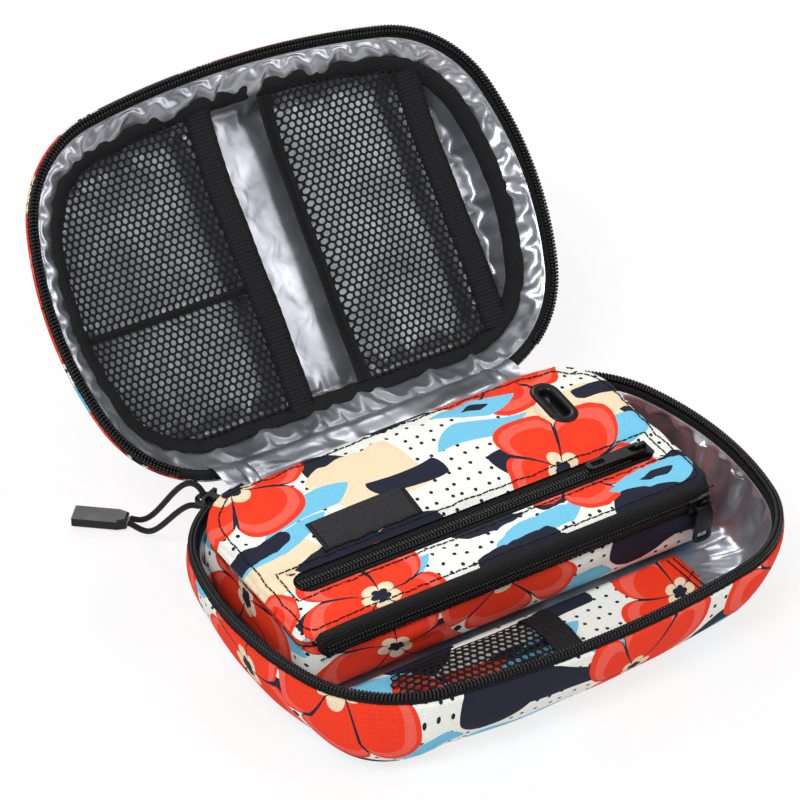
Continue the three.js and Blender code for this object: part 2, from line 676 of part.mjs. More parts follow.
const penPanel = between(casePlan(baseEdge - PEN_PANEL_MARGIN), 'y', -CASE_WIDTH, PEN_PANEL_REAR);
const penMouth = PEN_BAND_X - BAND_WIDTH / 2 - SEAM_GAP;
const penMesh = [
  penArch(PEN_POCKET_LEFT, SEAM_GAP, MESH),
  penArch(PEN_POCKET_LEFT + PEN_POCKET_TAPER, PEN_POCKET_CROWN, MESH),
  penArch(penMouth, PEN_POCKET_CROWN, MESH),
];
const penBand = [-BAND_WIDTH / 2, BAND_WIDTH / 2].map((dx) => {
  return penArch(PEN_BAND_X + dx, PEN_POCKET_CROWN, CANVAS);
});
addPart(
  travelCase,
  'pen_panel',
  plate(between(penPanel, 'x', -CASE_LENGTH, PEN_PANEL_RIGHT), POCKET_FLOOR, CANVAS),
  PRINT,
);
addPart(travelCase, 'pen_pocket_mesh', skin(penMesh, false), BLACK_MESH);
addPart(travelCase, 'pen_pocket_band', skin(penBand, false), BLACK_TAPE);

// Slider of the rim zip, parked at the rear left end of the base's tape, with its bail facing out
function mainSlider() {
  const face = MAIN_SLIDER_GAP;
  const low = BASE_HEIGHT - MAIN_SLIDER_HEIGHT + SEAM_GAP / 2;
  const high = low + MAIN_SLIDER_HEIGHT;
  const half = MAIN_SLIDER_LENGTH / 2;
  const waist = MAIN_SLIDER_WAIST / 2;
  const bridgeLow = BASE_HEIGHT - TOOTH_HEIGHT + SEAM_GAP / 2;
  const inner = -WALL - face;
  const front = face + MAIN_SLIDER_PLATE;
  const plateShape = new THREE.Shape();
  plateShape.moveTo(-half, low);
  plateShape.lineTo(half, low);
  plateShape.quadraticCurveTo(waist, (low + high) / 2, half, high);
  plateShape.lineTo(-half, high);
  plateShape.quadraticCurveTo(-waist, (low + high) / 2, -half, low);
  const plain = { bevelEnabled: false, curveSegments: 4 };
  const outerPlate = new THREE.ExtrudeGeometry(plateShape, { depth: MAIN_SLIDER_PLATE, ...plain });
  outerPlate.rotateX(Math.PI / 2).rotateZ(Math.PI).translate(0, face, 0);
  const innerPlate = outerPlate.clone().translate(0, inner - MAIN_SLIDER_PLATE - face, 0);
  const bridgeHalf = MAIN_SLIDER_BRIDGE / 2;
  const bridge = box(-bridgeHalf, bridgeHalf, inner - SEAM_GAP, face + SEAM_GAP, bridgeLow, high);
  const bailOut = front + MAIN_BAIL_OPENING;
  const bailHalf = half - MAIN_BAIL_BAR / 2;
  const bailInner = bailHalf - MAIN_BAIL_BAR;
  const root = front - SEAM_GAP;
  const bailShape = new THREE.Shape();
  bailShape.moveTo(-bailHalf, root);
  bailShape.lineTo(-bailInner, root);
  bailShape.lineTo(-bailInner, bailOut - MAIN_BAIL_BAR);
  bailShape.quadraticCurveTo(-bailInner, bailOut, 0, bailOut);
  bailShape.quadraticCurveTo(bailInner, bailOut, bailInner, bailOut - MAIN_BAIL_BAR);
  bailShape.lineTo(bailInner, root);
  bailShape.lineTo(bailHalf, root);
  bailShape.lineTo(bailHalf, bailOut - MAIN_BAIL_BAR);
  bailShape.quadraticCurveTo(bailHalf, bailOut + MAIN_BAIL_BAR, 0, bailOut + MAIN_BAIL_BAR);
  bailShape.quadraticCurveTo(-bailHalf, bailOut + MAIN_BAIL_BAR, -bailHalf, bailOut - MAIN_BAIL_BAR);
  const bail = new THREE.ExtrudeGeometry(bailShape, { depth: MAIN_BAIL_HEIGHT, ...plain });
  bail.translate(0, 0, (low + high) / 2 - MAIN_BAIL_HEIGHT / 2);
  return join(outerPlate, innerPlate, bridge, bail);
}

function cordStrand(route) {
  const scale = BASE_HEIGHT / CORD_RIM_HEIGHT;
  const points = route.map(([side, out, up]) => new THREE.Vector3(side, out, up * scale));
  const path = new THREE.CatmullRomCurve3(points);
  const ring = new THREE.Shape();
  ring.absarc(0, 0, CORD_DIAMETER / 2, 0, 2 * Math.PI);
  const settings = { steps: CORD_STEPS, extrudePath: path, curveSegments: CORD_SIDES / 2 };
  return new THREE.ExtrudeGeometry(ring, settings);
}

function pullGrip() {
  const outline = new THREE.Shape();
  outline.moveTo(-GRIP_NECK / 2, 0);
  outline.lineTo(GRIP_NECK / 2, 0);
  outline.lineTo(GRIP_WIDTH / 2, GRIP_TAPER);
  outline.lineTo(GRIP_WIDTH / 2, GRIP_LENGTH);
  outline.lineTo(-GRIP_WIDTH / 2, GRIP_LENGTH);
  outline.lineTo(-GRIP_WIDTH / 2, GRIP_TAPER);
  const edge = GRIP_EDGE;
  const bevel = { bevelThickness: edge, bevelSize: edge, bevelOffset: -edge, bevelSegments: 1 };
  const geometry = new THREE.ExtrudeGeometry(outline, { depth: GRIP_THICKNESS - 2 * edge, ...bevel });
  return geometry.translate(0, SEAM_GAP, GRIP_LIFT + edge);
}

const sliderAngle = THREE.MathUtils.degToRad(MAIN_SLIDER_ANGLE);
const sliderStation = new THREE.Group();
const sliderPlace = arcPoint(rimArcs()[0], sliderAngle, 0);
sliderStation.position.set(sliderPlace.x, sliderPlace.y, 0);
sliderStation.rotation.z = sliderAngle - Math.PI / 2;
travelCase.add(sliderStation);
addPart(sliderStation, 'main_slider', mainSlider(), BLACK_MOULDED);
addPart(sliderStation, 'pull_cord_upper', cordStrand(UPPER_STRAND), BLACK_TAPE);
addPart(sliderStation, 'pull_cord_lower', cordStrand(LOWER_STRAND), BLACK_TAPE);
const gripStation = new THREE.Group();
gripStation.position.set(GRIP_SIDE, GRIP_OUT, 0);
gripStation.rotation.z = THREE.MathUtils.degToRad(GRIP_TURN);
sliderStation.add(gripStation);
addPart(gripStation, 'pull_grip', pullGrip(), BLACK_MOULDED);

// Plan of the pouch: square-cut front corners for the zip, round rear corners
function pouchPlan(inset) {
  const halfX = POUCH_LENGTH / 2 - inset;
  const halfY = POUCH_DEPTH / 2 - inset;
  const points = [];
  for (const [x, y, corner, from] of [
    [-1, 1, POUCH_REAR_CORNER, 0.5],
    [-1, -1, POUCH_FRONT_CORNER, 1],
    [1, -1, POUCH_FRONT_CORNER, 1.5],
    [1, 1, POUCH_REAR_CORNER, 2],
  ]) {
    const radius = Math.max(corner - inset, 1);
    for (let step = 0; step <= 4; step++) {
      const angle = Math.PI * (from + step / 8);
      const dx = x * (halfX - radius) + radius * Math.cos(angle);
      points.push(new THREE.Vector2(dx, y * (halfY - radius) + radius * Math.sin(angle)));
    }
  }
  return points;
}

// Pouch body and what it holds; the seam above them slopes down to the front
const pouch = new THREE.Group();
pouch.position.set(POUCH_X, POUCH_Y, POCKET_FLOOR);
travelCase.add(pouch);
const seamSlope = Math.tan(THREE.MathUtils.degToRad(POUCH_TILT));
const underSeam = (inset, below) =>
  pouchPlan(inset).map((p) => {
    return new THREE.Vector3(p.x, p.y, POUCH_SEAM_HEIGHT - POCKET_FLOOR - below + p.y * seamSlope);
  });

function pouchTray(outer, inner, below) {
  const outside = edgeCurve(POUCH_EDGE_RADIUS, POUCH_EDGE_RADIUS - outer, true).reverse();
  const inside = edgeCurve(POUCH_EDGE_RADIUS, POUCH_EDGE_RADIUS - inner, true);
  const ring = ({ inset, z }) => level(pouchPlan(inset), z);
  const mouth = [underSeam(outer, below), underSeam(inner, below)];
  return skin([...outside.map(ring), ...mouth, ...inside.map(ring)], false);
}

function gelPack(floor) {
  const inset = CANVAS + SEAM_GAP + POUCH_INSULATION + GEL_PACK_MARGIN;
  const bottom = floor + SEAM_GAP;
  const top = bottom + GEL_PACK_THICKNESS;
  const drawn = inset + POUCH_EDGE_RADIUS - POUCH_INSULATION;
  return skin(
    [
      level(pouchPlan(drawn), bottom),
      level(pouchPlan(inset + GEL_PACK_ROUND), bottom + GEL_PACK_ROUND),
      level(pouchPlan(inset + GEL_PACK_ROUND), top - GEL_PACK_ROUND),
      level(pouchPlan(drawn), top),
    ],
    false,
  );
}

const insulationOut = CANVAS + SEAM_GAP;
const insulationIn = insulationOut + POUCH_INSULATION;
addPart(pouch, 'pouch_body', pouchTray(0, CANVAS, 0), PRINT);
addPart(pouch, 'pouch_lining', pouchTray(insulationOut, insulationIn, SEAM_GAP), SILVER);
addPart(pouch, 'gel_pack', gelPack(insulationIn), GEL);

// Everything above the pouch's sloping seam lies in a frame tilted with it
const pouchTop = new THREE.Group();
pouchTop.position.set(POUCH_X, POUCH_Y, POUCH_SEAM_HEIGHT);
pouchTop.rotation.x = THREE.MathUtils.degToRad(POUCH_TILT);
travelCase.add(pouchTop);

function oval(length, width, x, y) {
  const shape = new THREE.Shape();
  const run = (length - width) / 2;
  shape.absarc(x, y + run, width / 2, 0, Math.PI);
  shape.absarc(x, y - run, width / 2, Math.PI, 2 * Math.PI);
  return shape;
}

function ovalRing(length, width, rim, bottom, thickness) {
  const outline = oval(length, width, GROMMET_X, GROMMET_Y);
  const hole = oval(length - 2 * rim, width - 2 * rim, GROMMET_X, GROMMET_Y);
  return plate(outline.getPoints(5), bottom, thickness, [hole.getPoints(5)]);
}

const panelTop = PANEL_LEVEL + POUCH_PANEL;

function pouchPanel() {
  const round = POUCH_PANEL_ROUND;
  const slab = skin(
    [
      level(pouchPlan(0), PANEL_LEVEL),
      level(pouchPlan(0), panelTop - round),
      level(pouchPlan(POUCH_PANEL_SHOULDER), panelTop - POUCH_PANEL_SHOULDER),
      level(pouchPlan(round), panelTop),
    ],
    false,
  );
  const reach = 2 * POUCH_PANEL;
  const half = POCKET_ZIP_SLOT / 2;
  const slot = box(
    -POCKET_ZIP_HALF,
    POCKET_ZIP_HALF,
    POCKET_ZIP_Y - half,
    POCKET_ZIP_Y + half,
    PANEL_LEVEL - reach,
    panelTop + reach,
  );
  const neck = oval(GROMMET_LENGTH - GROMMET_RIM, GROMMET_WIDTH - GROMMET_RIM, GROMMET_X, GROMMET_Y);
  const hole = plate(neck.getPoints(5), PANEL_LEVEL - reach, POUCH_PANEL + 2 * reach);
  return cut(slab, slot, hole);
}

function pouchGusset() {
  const outer = pouchPlan(SEAM_GAP);
  const inner = pouchPlan(SEAM_GAP + POUCH_GUSSET_THICKNESS);
  const corner = outer.length / 4;
  const places = [...outer.keys()];
  const order = [...places.filter((i) => i >= 3 * corner - 1), ...places.filter((i) => i <= corner)];
  const low = SEAM_GAP;
  const high = SEAM_GAP + POUCH_GUSSET;
  const loops = order.map((i) => [
    new THREE.Vector3(outer[i].x, outer[i].y, low),
    new THREE.Vector3(inner[i].x, inner[i].y, low),
    new THREE.Vector3(inner[i].x, inner[i].y, high),
    new THREE.Vector3(outer[i].x, outer[i].y, high),
  ]);
  return skin(loops, false);
}

// Grommet: a flange on the panel and a neck through its hole, as one moulding
function grommet() {
  const neckWall = GROMMET_RIM / 2 + SEAM_GAP;
  const neckLength = GROMMET_LENGTH - GROMMET_RIM - 2 * SEAM_GAP;
  const neckWidth = GROMMET_WIDTH - GROMMET_RIM - 2 * SEAM_GAP;
  const seat = panelTop + SEAM_GAP;
  const flangeLength = GROMMET_LENGTH + GROMMET_RIM;
  const flangeWidth = GROMMET_WIDTH + GROMMET_RIM;
  const neckHeight = seat + SEAM_GAP - PANEL_LEVEL;
  const flange = ovalRing(flangeLength, flangeWidth, 2 * GROMMET_RIM, seat, GROMMET_FLANGE);
  const neck = ovalRing(neckLength, neckWidth, neckWall - SEAM_GAP, PANEL_LEVEL, neckHeight);
  return join(flange, neck);
}

// Closed zip chain along X, on a face at height zero
function zipChain(from, to) {
  const count = 2 * Math.round((to - from) / CHAIN_PITCH);
  const loops = Array.from({ length: count + 1 }, (_, k) => {
    const x = THREE.MathUtils.lerp(from, to, k / count);
    const top = k % 2 ? CHAIN_HEIGHT : CHAIN_VALLEY;
    const half = CHAIN_WIDTH / 2;
    const topHalf = CHAIN_TOP_WIDTH / 2;
    const section = [[-half, 0], [half, 0], [topHalf, top], [-topHalf, top]];
    return section.map(([y, z]) => new THREE.Vector3(x, y, z));
  });
  return skin(loops, false);
}

// Slider over the chain: a shield plate, two guide flanges and a bail
const sliderPlate = CHAIN_HEIGHT + SLIDER_CLEARANCE;
const sliderTop = sliderPlate + SLIDER_PLATE;
const pullLevel = sliderTop + BAIL_OPENING / 2;

function zipSlider() {
  const half = SLIDER_LENGTH / 2;
  const mouth = SLIDER_MOUTH / 2;
  const tail = SLIDER_TAIL / 2;
  const shield = new THREE.Shape();
  shield.moveTo(-half, -tail);
  shield.lineTo(0, -tail);
  shield.quadraticCurveTo(SLIDER_SHOULDER, -mouth, half, -mouth);
  shield.lineTo(half, mouth);
  shield.quadraticCurveTo(SLIDER_SHOULDER, mouth, 0, tail);
  shield.lineTo(-half, tail);
  const shieldForm = { depth: SLIDER_PLATE, bevelEnabled: false, curveSegments: 4 };
  const top = new THREE.ExtrudeGeometry(shield, shieldForm).translate(0, 0, sliderPlate);
  const guideIn = CHAIN_WIDTH / 2 + SLIDER_CLEARANCE;
  const guideOut = guideIn + SLIDER_FLANGE;
  const guideTop = sliderPlate + SLIDER_CLEARANCE;
  const flanges = [1, -1].map((side) => {
    const flange = box(-half, 0, guideIn, guideOut, SLIDER_CLEARANCE, guideTop);
    return side > 0 ? flange : flange.rotateX(Math.PI).translate(0, 0, sliderPlate + 2 * SLIDER_CLEARANCE);
  });
  const outX = BAIL_LENGTH / 2;
  const inX = outX - BAIL_BAR;
  const inZ = sliderTop + BAIL_OPENING;
  const outZ = inZ + BAIL_BAR;
  const root = sliderTop - SLIDER_CLEARANCE;
  const arch = new THREE.Shape();
  arch.moveTo(-outX, root);
  arch.lineTo(-inX, root);
  arch.lineTo(-inX, inZ);
  arch.lineTo(inX, inZ);
  arch.lineTo(inX, root);
  arch.lineTo(outX, root);
  arch.lineTo(outX, inZ);
  arch.quadraticCurveTo(outX, outZ, inX, outZ);
  arch.lineTo(-inX, outZ);
  arch.quadraticCurveTo(-outX, outZ, -outX, inZ);
  const bail = new THREE.ExtrudeGeometry(arch, { depth: BAIL_WIDTH, bevelEnabled: false, curveSegments: 3 });
  bail.rotateX(Math.PI / 2).translate(0, BAIL_WIDTH / 2, 0);
  return join(top, ...flanges, bail);
}

// A pull that lies along the zip, its end bar caught under the bail
function flatPull() {
  const half = FLAT_PULL_WIDTH / 2;
  const bar = PULL / 2;
  const tab = new THREE.Shape();
  tab.moveTo(bar, -half);
  tab.lineTo(bar, half);
  const tipHalf = FLAT_PULL_TIP / 2;
  tab.lineTo(-FLAT_PULL_LENGTH + half, tipHalf);
  tab.absarc(-FLAT_PULL_LENGTH + half, 0, tipHalf, Math.PI / 2, 1.5 * Math.PI);
  const eyeHalf = BAIL_WIDTH / 2 + PULL_CLEARANCE;
  const eyeEnd = -bar - FLAT_PULL_EYE;
  const eye = [[-bar, -eyeHalf], [-bar, eyeHalf], [eyeEnd, eyeHalf], [eyeEnd, -eyeHalf]];
  const slotFrom = -FLAT_PULL_LENGTH + half;
  const slotHalf = FLAT_PULL_SLOT / 2;
  const slotTo = slotFrom + FLAT_PULL_WIDTH;
  const slot = [[slotFrom, -slotHalf], [slotTo, -slotHalf], [slotTo, slotHalf], [slotFrom, slotHalf]];
  const holes = [eye, slot].map((loop) => loop.map(([x, y]) => new THREE.Vector2(x, y)));
  return plate(tab.getPoints(5), -PULL / 2, PULL, holes);
}

// A pull that hangs across the zip from one leg of the bail
function dropPull() {
  const half = DROP_PULL_WIDTH / 2;
  const foot = -DROP_PULL_LENGTH + DROP_PULL_FOOT;
  const tab = new THREE.Shape();
  tab.absarc(0, 0, DROP_PULL_HEAD, 0, Math.PI);
  tab.lineTo(-half, -2 * DROP_PULL_HEAD);
  tab.lineTo(-half, foot);
  tab.quadraticCurveTo(-half, -DROP_PULL_LENGTH, 0, -DROP_PULL_LENGTH);
  tab.quadraticCurveTo(half, -DROP_PULL_LENGTH, half, foot);
  tab.lineTo(half, -2 * DROP_PULL_HEAD);
  const eye = new THREE.Path();
  eye.absarc(0, 0, DROP_PULL_EYE, 0, 2 * Math.PI);
  const slotHalf = DROP_PULL_SLOT_WIDTH / 2;
  const slotHigh = foot + DROP_PULL_SLOT_HEIGHT;
  const slot = [[-slotHalf, foot], [slotHalf, foot], [slotHalf, slotHigh], [-slotHalf, slotHigh]];
  const holes = [eye.getPoints(4).slice(0, -1), slot.map(([x, y]) => new THREE.Vector2(x, y))];
  return plate(tab.getPoints(4), -PULL / 2, PULL, holes);
}

addPart(pouchTop, 'pouch_top_panel', pouchPanel(), PRINT);
addPart(pouchTop, 'pouch_gusset', pouchGusset(), PRINT);
addPart(pouchTop, 'grommet', grommet(), BLACK_MOULDED);
const labelOutline = [[-1, -1], [1, -1], [1, 1], [-1, 1]].map(([x, y]) => {
  return new THREE.Vector2(LABEL_X + (x * LABEL_LENGTH) / 2, LABEL_Y + (y * LABEL_WIDTH) / 2);
});
addPart(pouchTop, 'blank_label', plate(labelOutline, panelTop + SEAM_GAP, LABEL), BLACK_TAPE);

// Top pocket zip, set in its slot, with the pocket's bag behind it
const slotInside = POCKET_ZIP_HALF - SEAM_GAP;
const slotHalfWidth = POCKET_ZIP_SLOT / 2 - SEAM_GAP;
const tapeTop = panelTop - POCKET_ZIP_RECESS;
const pocketZip = new THREE.Group();
pocketZip.position.set(0, POCKET_ZIP_Y, tapeTop);
pouchTop.add(pocketZip);
const bagTop = PANEL_LEVEL - SEAM_GAP - tapeTop;
const bagFront = slotHalfWidth - POCKET_BAG_DEPTH / 2;
addPart(
  pocketZip,
  'pocket_zip_tape',
  box(-slotInside, slotInside, -slotHalfWidth, slotHalfWidth, -ZIP_TAPE, 0),
  BLACK_TAPE,
);
addPart(
  pocketZip,
  'pocket_zip_chain',
  zipChain(CHAIN_END - slotInside, slotInside - CHAIN_END).translate(0, 0, SEAM_GAP),
  BLACK_MOULDED,
);
addPart(
  pocketZip,
  'pocket_bag',
  box(-slotInside, slotInside, bagFront, bagFront + POCKET_BAG_DEPTH, bagTop - POCKET_BAG, bagTop),
  SILVER,
);
const pocketSlider = new THREE.Group();
pocketSlider.position.set(POCKET_SLIDER_X, 0, SEAM_GAP);
pocketZip.add(pocketSlider);
addPart(pocketSlider, 'pocket_zip_slider', zipSlider(), BLACK_MOULDED);
addPart(pocketSlider, 'pocket_zip_pull', flatPull().translate(0, 0, pullLevel), BLACK_MOULDED);

// Edge zip along the front, facing forward
const edgeZip = new THREE.Group();
edgeZip.position.set(0, -POUCH_DEPTH / 2 - SEAM_GAP, SEAM_GAP + POUCH_GUSSET / 2);
edgeZip.rotation.x = Math.PI / 2;
pouchTop.add(edgeZip);
addPart(
  edgeZip,
  'edge_zip_tape',
  box(EDGE_ZIP_LEFT, EDGE_ZIP_RIGHT, -POUCH_GUSSET / 2, POUCH_GUSSET / 2, -ZIP_TAPE - SEAM_GAP, -SEAM_GAP),
  BLACK_TAPE,
);
const edgeChain = zipChain(EDGE_ZIP_LEFT + CHAIN_END, EDGE_ZIP_RIGHT - CHAIN_END);
addPart(edgeZip, 'edge_zip_chain', edgeChain, BLACK_MOULDED);
const edgeSlider = new THREE.Group();
edgeSlider.position.x = EDGE_SLIDER_X;
edgeZip.add(edgeSlider);
addPart(edgeSlider, 'edge_zip_slider', zipSlider(), BLACK_MOULDED);
const bailLeg = (BAIL_LENGTH - BAIL_BAR) / 2;
addPart(edgeSlider, 'edge_zip_pull', dropPull().translate(bailLeg, 0, pullLevel), BLACK_MOULDED);

export default travelCase;
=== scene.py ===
"""Looks for a soft insulated travel case: printed canvas, silver lining, net pockets, lift-out pouch."""
import json
from functools import partial
from math import atan2, copysign, cos, exp, pi, radians, sin, sqrt, tan

import bpy
import numpy as np
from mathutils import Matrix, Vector
from mathutils.bvhtree import BVHTree


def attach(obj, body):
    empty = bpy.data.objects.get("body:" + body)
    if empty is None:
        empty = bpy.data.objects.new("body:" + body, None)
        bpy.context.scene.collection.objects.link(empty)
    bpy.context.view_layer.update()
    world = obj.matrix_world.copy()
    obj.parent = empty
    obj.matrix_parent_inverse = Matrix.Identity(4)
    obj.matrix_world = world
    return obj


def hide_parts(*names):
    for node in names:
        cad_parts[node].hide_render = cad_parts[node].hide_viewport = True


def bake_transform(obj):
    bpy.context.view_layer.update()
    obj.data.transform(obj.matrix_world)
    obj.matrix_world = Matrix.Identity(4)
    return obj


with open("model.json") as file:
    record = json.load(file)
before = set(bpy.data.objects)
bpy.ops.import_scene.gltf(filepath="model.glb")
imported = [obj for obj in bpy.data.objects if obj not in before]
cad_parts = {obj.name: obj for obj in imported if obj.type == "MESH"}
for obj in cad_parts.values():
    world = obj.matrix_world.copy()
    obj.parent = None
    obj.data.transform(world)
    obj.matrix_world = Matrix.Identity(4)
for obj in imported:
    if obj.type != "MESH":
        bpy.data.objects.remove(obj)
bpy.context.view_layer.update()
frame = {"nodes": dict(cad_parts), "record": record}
MM = 0.001

# Sizes of the case in millimetres, as in the solids
LENGTH, WIDTH, CORNER, SIDE_BOW, FRONT_BOW = 245, 172, 55, 4, 5.5
HEIGHTS, WALL = {"base": 40, "lid": 32}, 6.6
HINGE_Y, HINGE_Z, LID_LEAN, LID_SHIFT, LID_DROP = 88.1, 36, radians(50), 88.1, 36.5
TAPE_FOOT, TAPE_END, ZIP_END, SLIDER_ANGLE = 8, 97, 121, radians(114)
POUCH_X, POUCH_Y, POUCH_SEAM, POUCH_TILT = -3, 21, 35.2, radians(3.5)
POUCH_LEFT, POUCH_RIGHT, POUCH_FRONT, POUCH_REAR = -102, 100, -43.5, 50
FRONT_CORNER, REAR_CORNER = 6, 25
BODY_PLAN = (-100, 100, -47, 47, 8, 18)
TOP_PLAN = (POUCH_LEFT, POUCH_RIGHT, POUCH_FRONT, POUCH_REAR, FRONT_CORNER, REAR_CORNER)
PANEL_LOW, PANEL_TOP = 5.6, 9.1
SLOT_Y, SLOT_HALF_X, SLOT_HALF_Y = -15, 88, 6.2
EYELET_X, EYELET_Y, EYELET_HALF = 67, 27, 6.4
CORD_DIAMETER = 2.6
NET_PITCH, NET_CORD, NET_THICKNESS = 3.4, 0.6, 0.5
COIL_PITCH, COIL_SLANT = 1.55, 0.42

# Camera and lamps, in metres and degrees
AZIMUTH, ELEVATION, DISTANCE, LENS_MM, SENSOR_MM = radians(-32.68), radians(34.89), 1.4966, 155.2, 36
LOOK_AT, LIT_AT = Vector((0.0175, 0.0968, 0.040)), Vector((0, 0.08, 0.05))
LAMPS = (("key", (-1.0, -0.5, 1.6), 0.8, 25), ("fill", (1.2, -1.0, 1.1), 1.0, 9),
         ("back", (0.5, 1.4, 1.3), 0.8, 12))


def aim(name, data, place, target):
    """Adds a camera or a lamp at a place, turned to a target."""
    piece = bpy.data.objects.new(name, data)
    bpy.context.collection.objects.link(piece)
    piece.location = place
    piece.rotation_mode = "QUATERNION"
    piece.rotation_quaternion = (target - place).to_track_quat("-Z", "Y")
    return piece


def aim_camera():
    flat = cos(ELEVATION)
    back = Vector((sin(AZIMUTH) * flat, -cos(AZIMUTH) * flat, sin(ELEVATION)))
    data = bpy.data.cameras.new("camera")
    data.lens, data.sensor_width, data.clip_end = LENS_MM, SENSOR_MM, 20
    bpy.context.scene.camera = aim("camera", data, LOOK_AT + back * DISTANCE, LOOK_AT)


aim_camera()


# Materials
def linear(code):
    """Linear colour of an sRGB hex code."""
    parts = [int(code[i:i + 2], 16) / 255 for i in (1, 3, 5)]
    return (*(c / 12.92 if c <= 0.04045 else ((c + 0.055) / 1.055) ** 2.4 for c in parts), 1)


def node(tree, kind, inputs=(), out=0, **settings):
    """Adds a shader node with its settings and links, and gives one of its outputs."""
    made = tree.nodes.new("ShaderNode" + kind)
    for key, value in settings.items():
        setattr(made, key, value)
    for key, value in inputs.items() if isinstance(inputs, dict) else enumerate(inputs):
        if isinstance(value, bpy.types.NodeSocket):
            tree.links.new(value, made.inputs[key])
        else:
            made.inputs[key].default_value = value
    return made.outputs[out]


def new_look(name, **shader):
    """A material with plain values on its shader, and the means to add nodes to it."""
    material = bpy.data.materials.new(name)
    material.use_nodes = True
    inputs = material.node_tree.nodes["Principled BSDF"].inputs
    for key, value in shader.items():
        inputs[key.replace("_", " ")].default_value = value
    return material, partial(node, material.node_tree)


def finish_look(material, add, colour, height, strength, depth_mm, rough=None):
    """Puts a colour, a relief and, where it varies, a roughness on a material's shader."""
    relief = add("Bump", {"Height": height, "Strength": strength, "Distance": depth_mm * MM})
    tree = material.node_tree
    for key, value in (("Normal", relief), ("Base Color", colour), ("Roughness", rough)):
        if value:
            tree.links.new(value, tree.nodes["Principled BSDF"].inputs[key])
    return material


def every(size_mm):
    """Scale of a pattern that repeats at a size."""
    return 1 / (size_mm * MM)


MIX = dict(out="Result", data_type="RGBA")
PLANE, CELLS = dict(noise_dimensions="2D"), dict(voronoi_dimensions="2D")
INK, CORAL, SALMON, SKY, CREAM, PALE = (
    linear(code) for code in ("#1f2133", "#f23a1c", "#f4604f", "#74c4e4", "#efdab8", "#f0f2ea")
)
WAVES_PER_SCALE, FULL_TURN, PETALS = 3.2, 6.283, 5


def thread_grid(add, flat, pitch_mm):
    """Height of crossing threads at a spacing, drawn coarser than the real cloth so that they show."""
    spaced = {"Vector": flat, "Scale": every(WAVES_PER_SCALE * pitch_mm)}
    return add("Math", [add("TexWave", spaced, bands_direction=axis) for axis in "XY"], operation="ADD")


def leaf_layer(add, flat, ground, cell_mm, turn, slim, reach, ink, heart):
    """Pointed leaves all lying one way, in two tones, over the ground below."""
    size = (every(cell_mm) / slim, every(cell_mm), 1)
    placed = {"Vector": flat, "Location": (turn, 2 * turn, 0), "Rotation": (0, 0, turn), "Scale": size}
    shape = {"Vector": add("Mapping", placed), "Scale": 1.0, "Randomness": 0.85, "Exponent": 1.2}
    cells = add("TexVoronoi", shape, "Distance", distance="MINKOWSKI", **CELLS)
    inside, middle = (add("Math", (cells, share * reach), operation="LESS_THAN") for share in (1, 0.35))
    leaf = add("Mix", {"Factor": middle, "A": ink, "B": heart}, **MIX)
    return add("Mix", {"Factor": inside, "A": ground, "B": leaf}, **MIX)


def rosette_layer(add, flat, ground, cell_mm, offset, radius_mm):
    """Round five-lobed rosettes with a pale eye, turned by chance."""
    moved = add("VectorMath", (flat, (offset, 0.7 * offset, 0)), operation="ADD")
    spread = {"Vector": moved, "Scale": every(cell_mm), "Randomness": 0.7}
    cells = add("TexVoronoi", spread, **CELLS).node.outputs
    apart = add("VectorMath", (moved, cells["Position"]), operation="SUBTRACT")
    turn = add("Math", (cells["Color"], FULL_TURN), operation="MULTIPLY")
    turned = add("VectorRotate", {"Vector": apart, "Angle": turn}, rotation_type="Z_AXIS")
    x, y = add("SeparateXYZ", (turned,)).node.outputs[:2]
    angle = add("Math", (y, x), operation="ARCTAN2")
    wave = add("Math", (add("Math", (angle, PETALS / 2), operation="MULTIPLY"),), operation="COSINE")
    lobe = add("Math", (wave,), operation="ABSOLUTE")
    round_lobe = add("Math", (lobe, 0.55), operation="POWER")
    reach = add("Math", (round_lobe, 0.42 * radius_mm * MM, 0.58 * radius_mm * MM), operation="MULTIPLY_ADD")
    away = add("VectorMath", (add("CombineXYZ", (x, y)),), "Value", operation="LENGTH")
    share = add("Math", (away, reach), operation="DIVIDE")
    ramp = add("ValToRGB", (share,)).node
    tones = ramp.color_ramp.elements
    ramp.color_ramp.interpolation = "CONSTANT"
    tones[0].color, tones[1].color, tones[1].position = INK, CREAM, 0.12
    for position, tone in ((0.24, CORAL), (0.72, SALMON), (0.9, CORAL)):
        tones.new(position).color = tone
    crease = add("Math", (lobe, 0.1), operation="LESS_THAN")
    petals = add("Mix", {"Factor": crease, "A": ramp.outputs["Color"], "B": INK}, **MIX)
    inside = add("Math", (share, 1.0), operation="LESS_THAN")
    return add("Mix", {"Factor": inside, "A": ground, "B": petals}, **MIX)


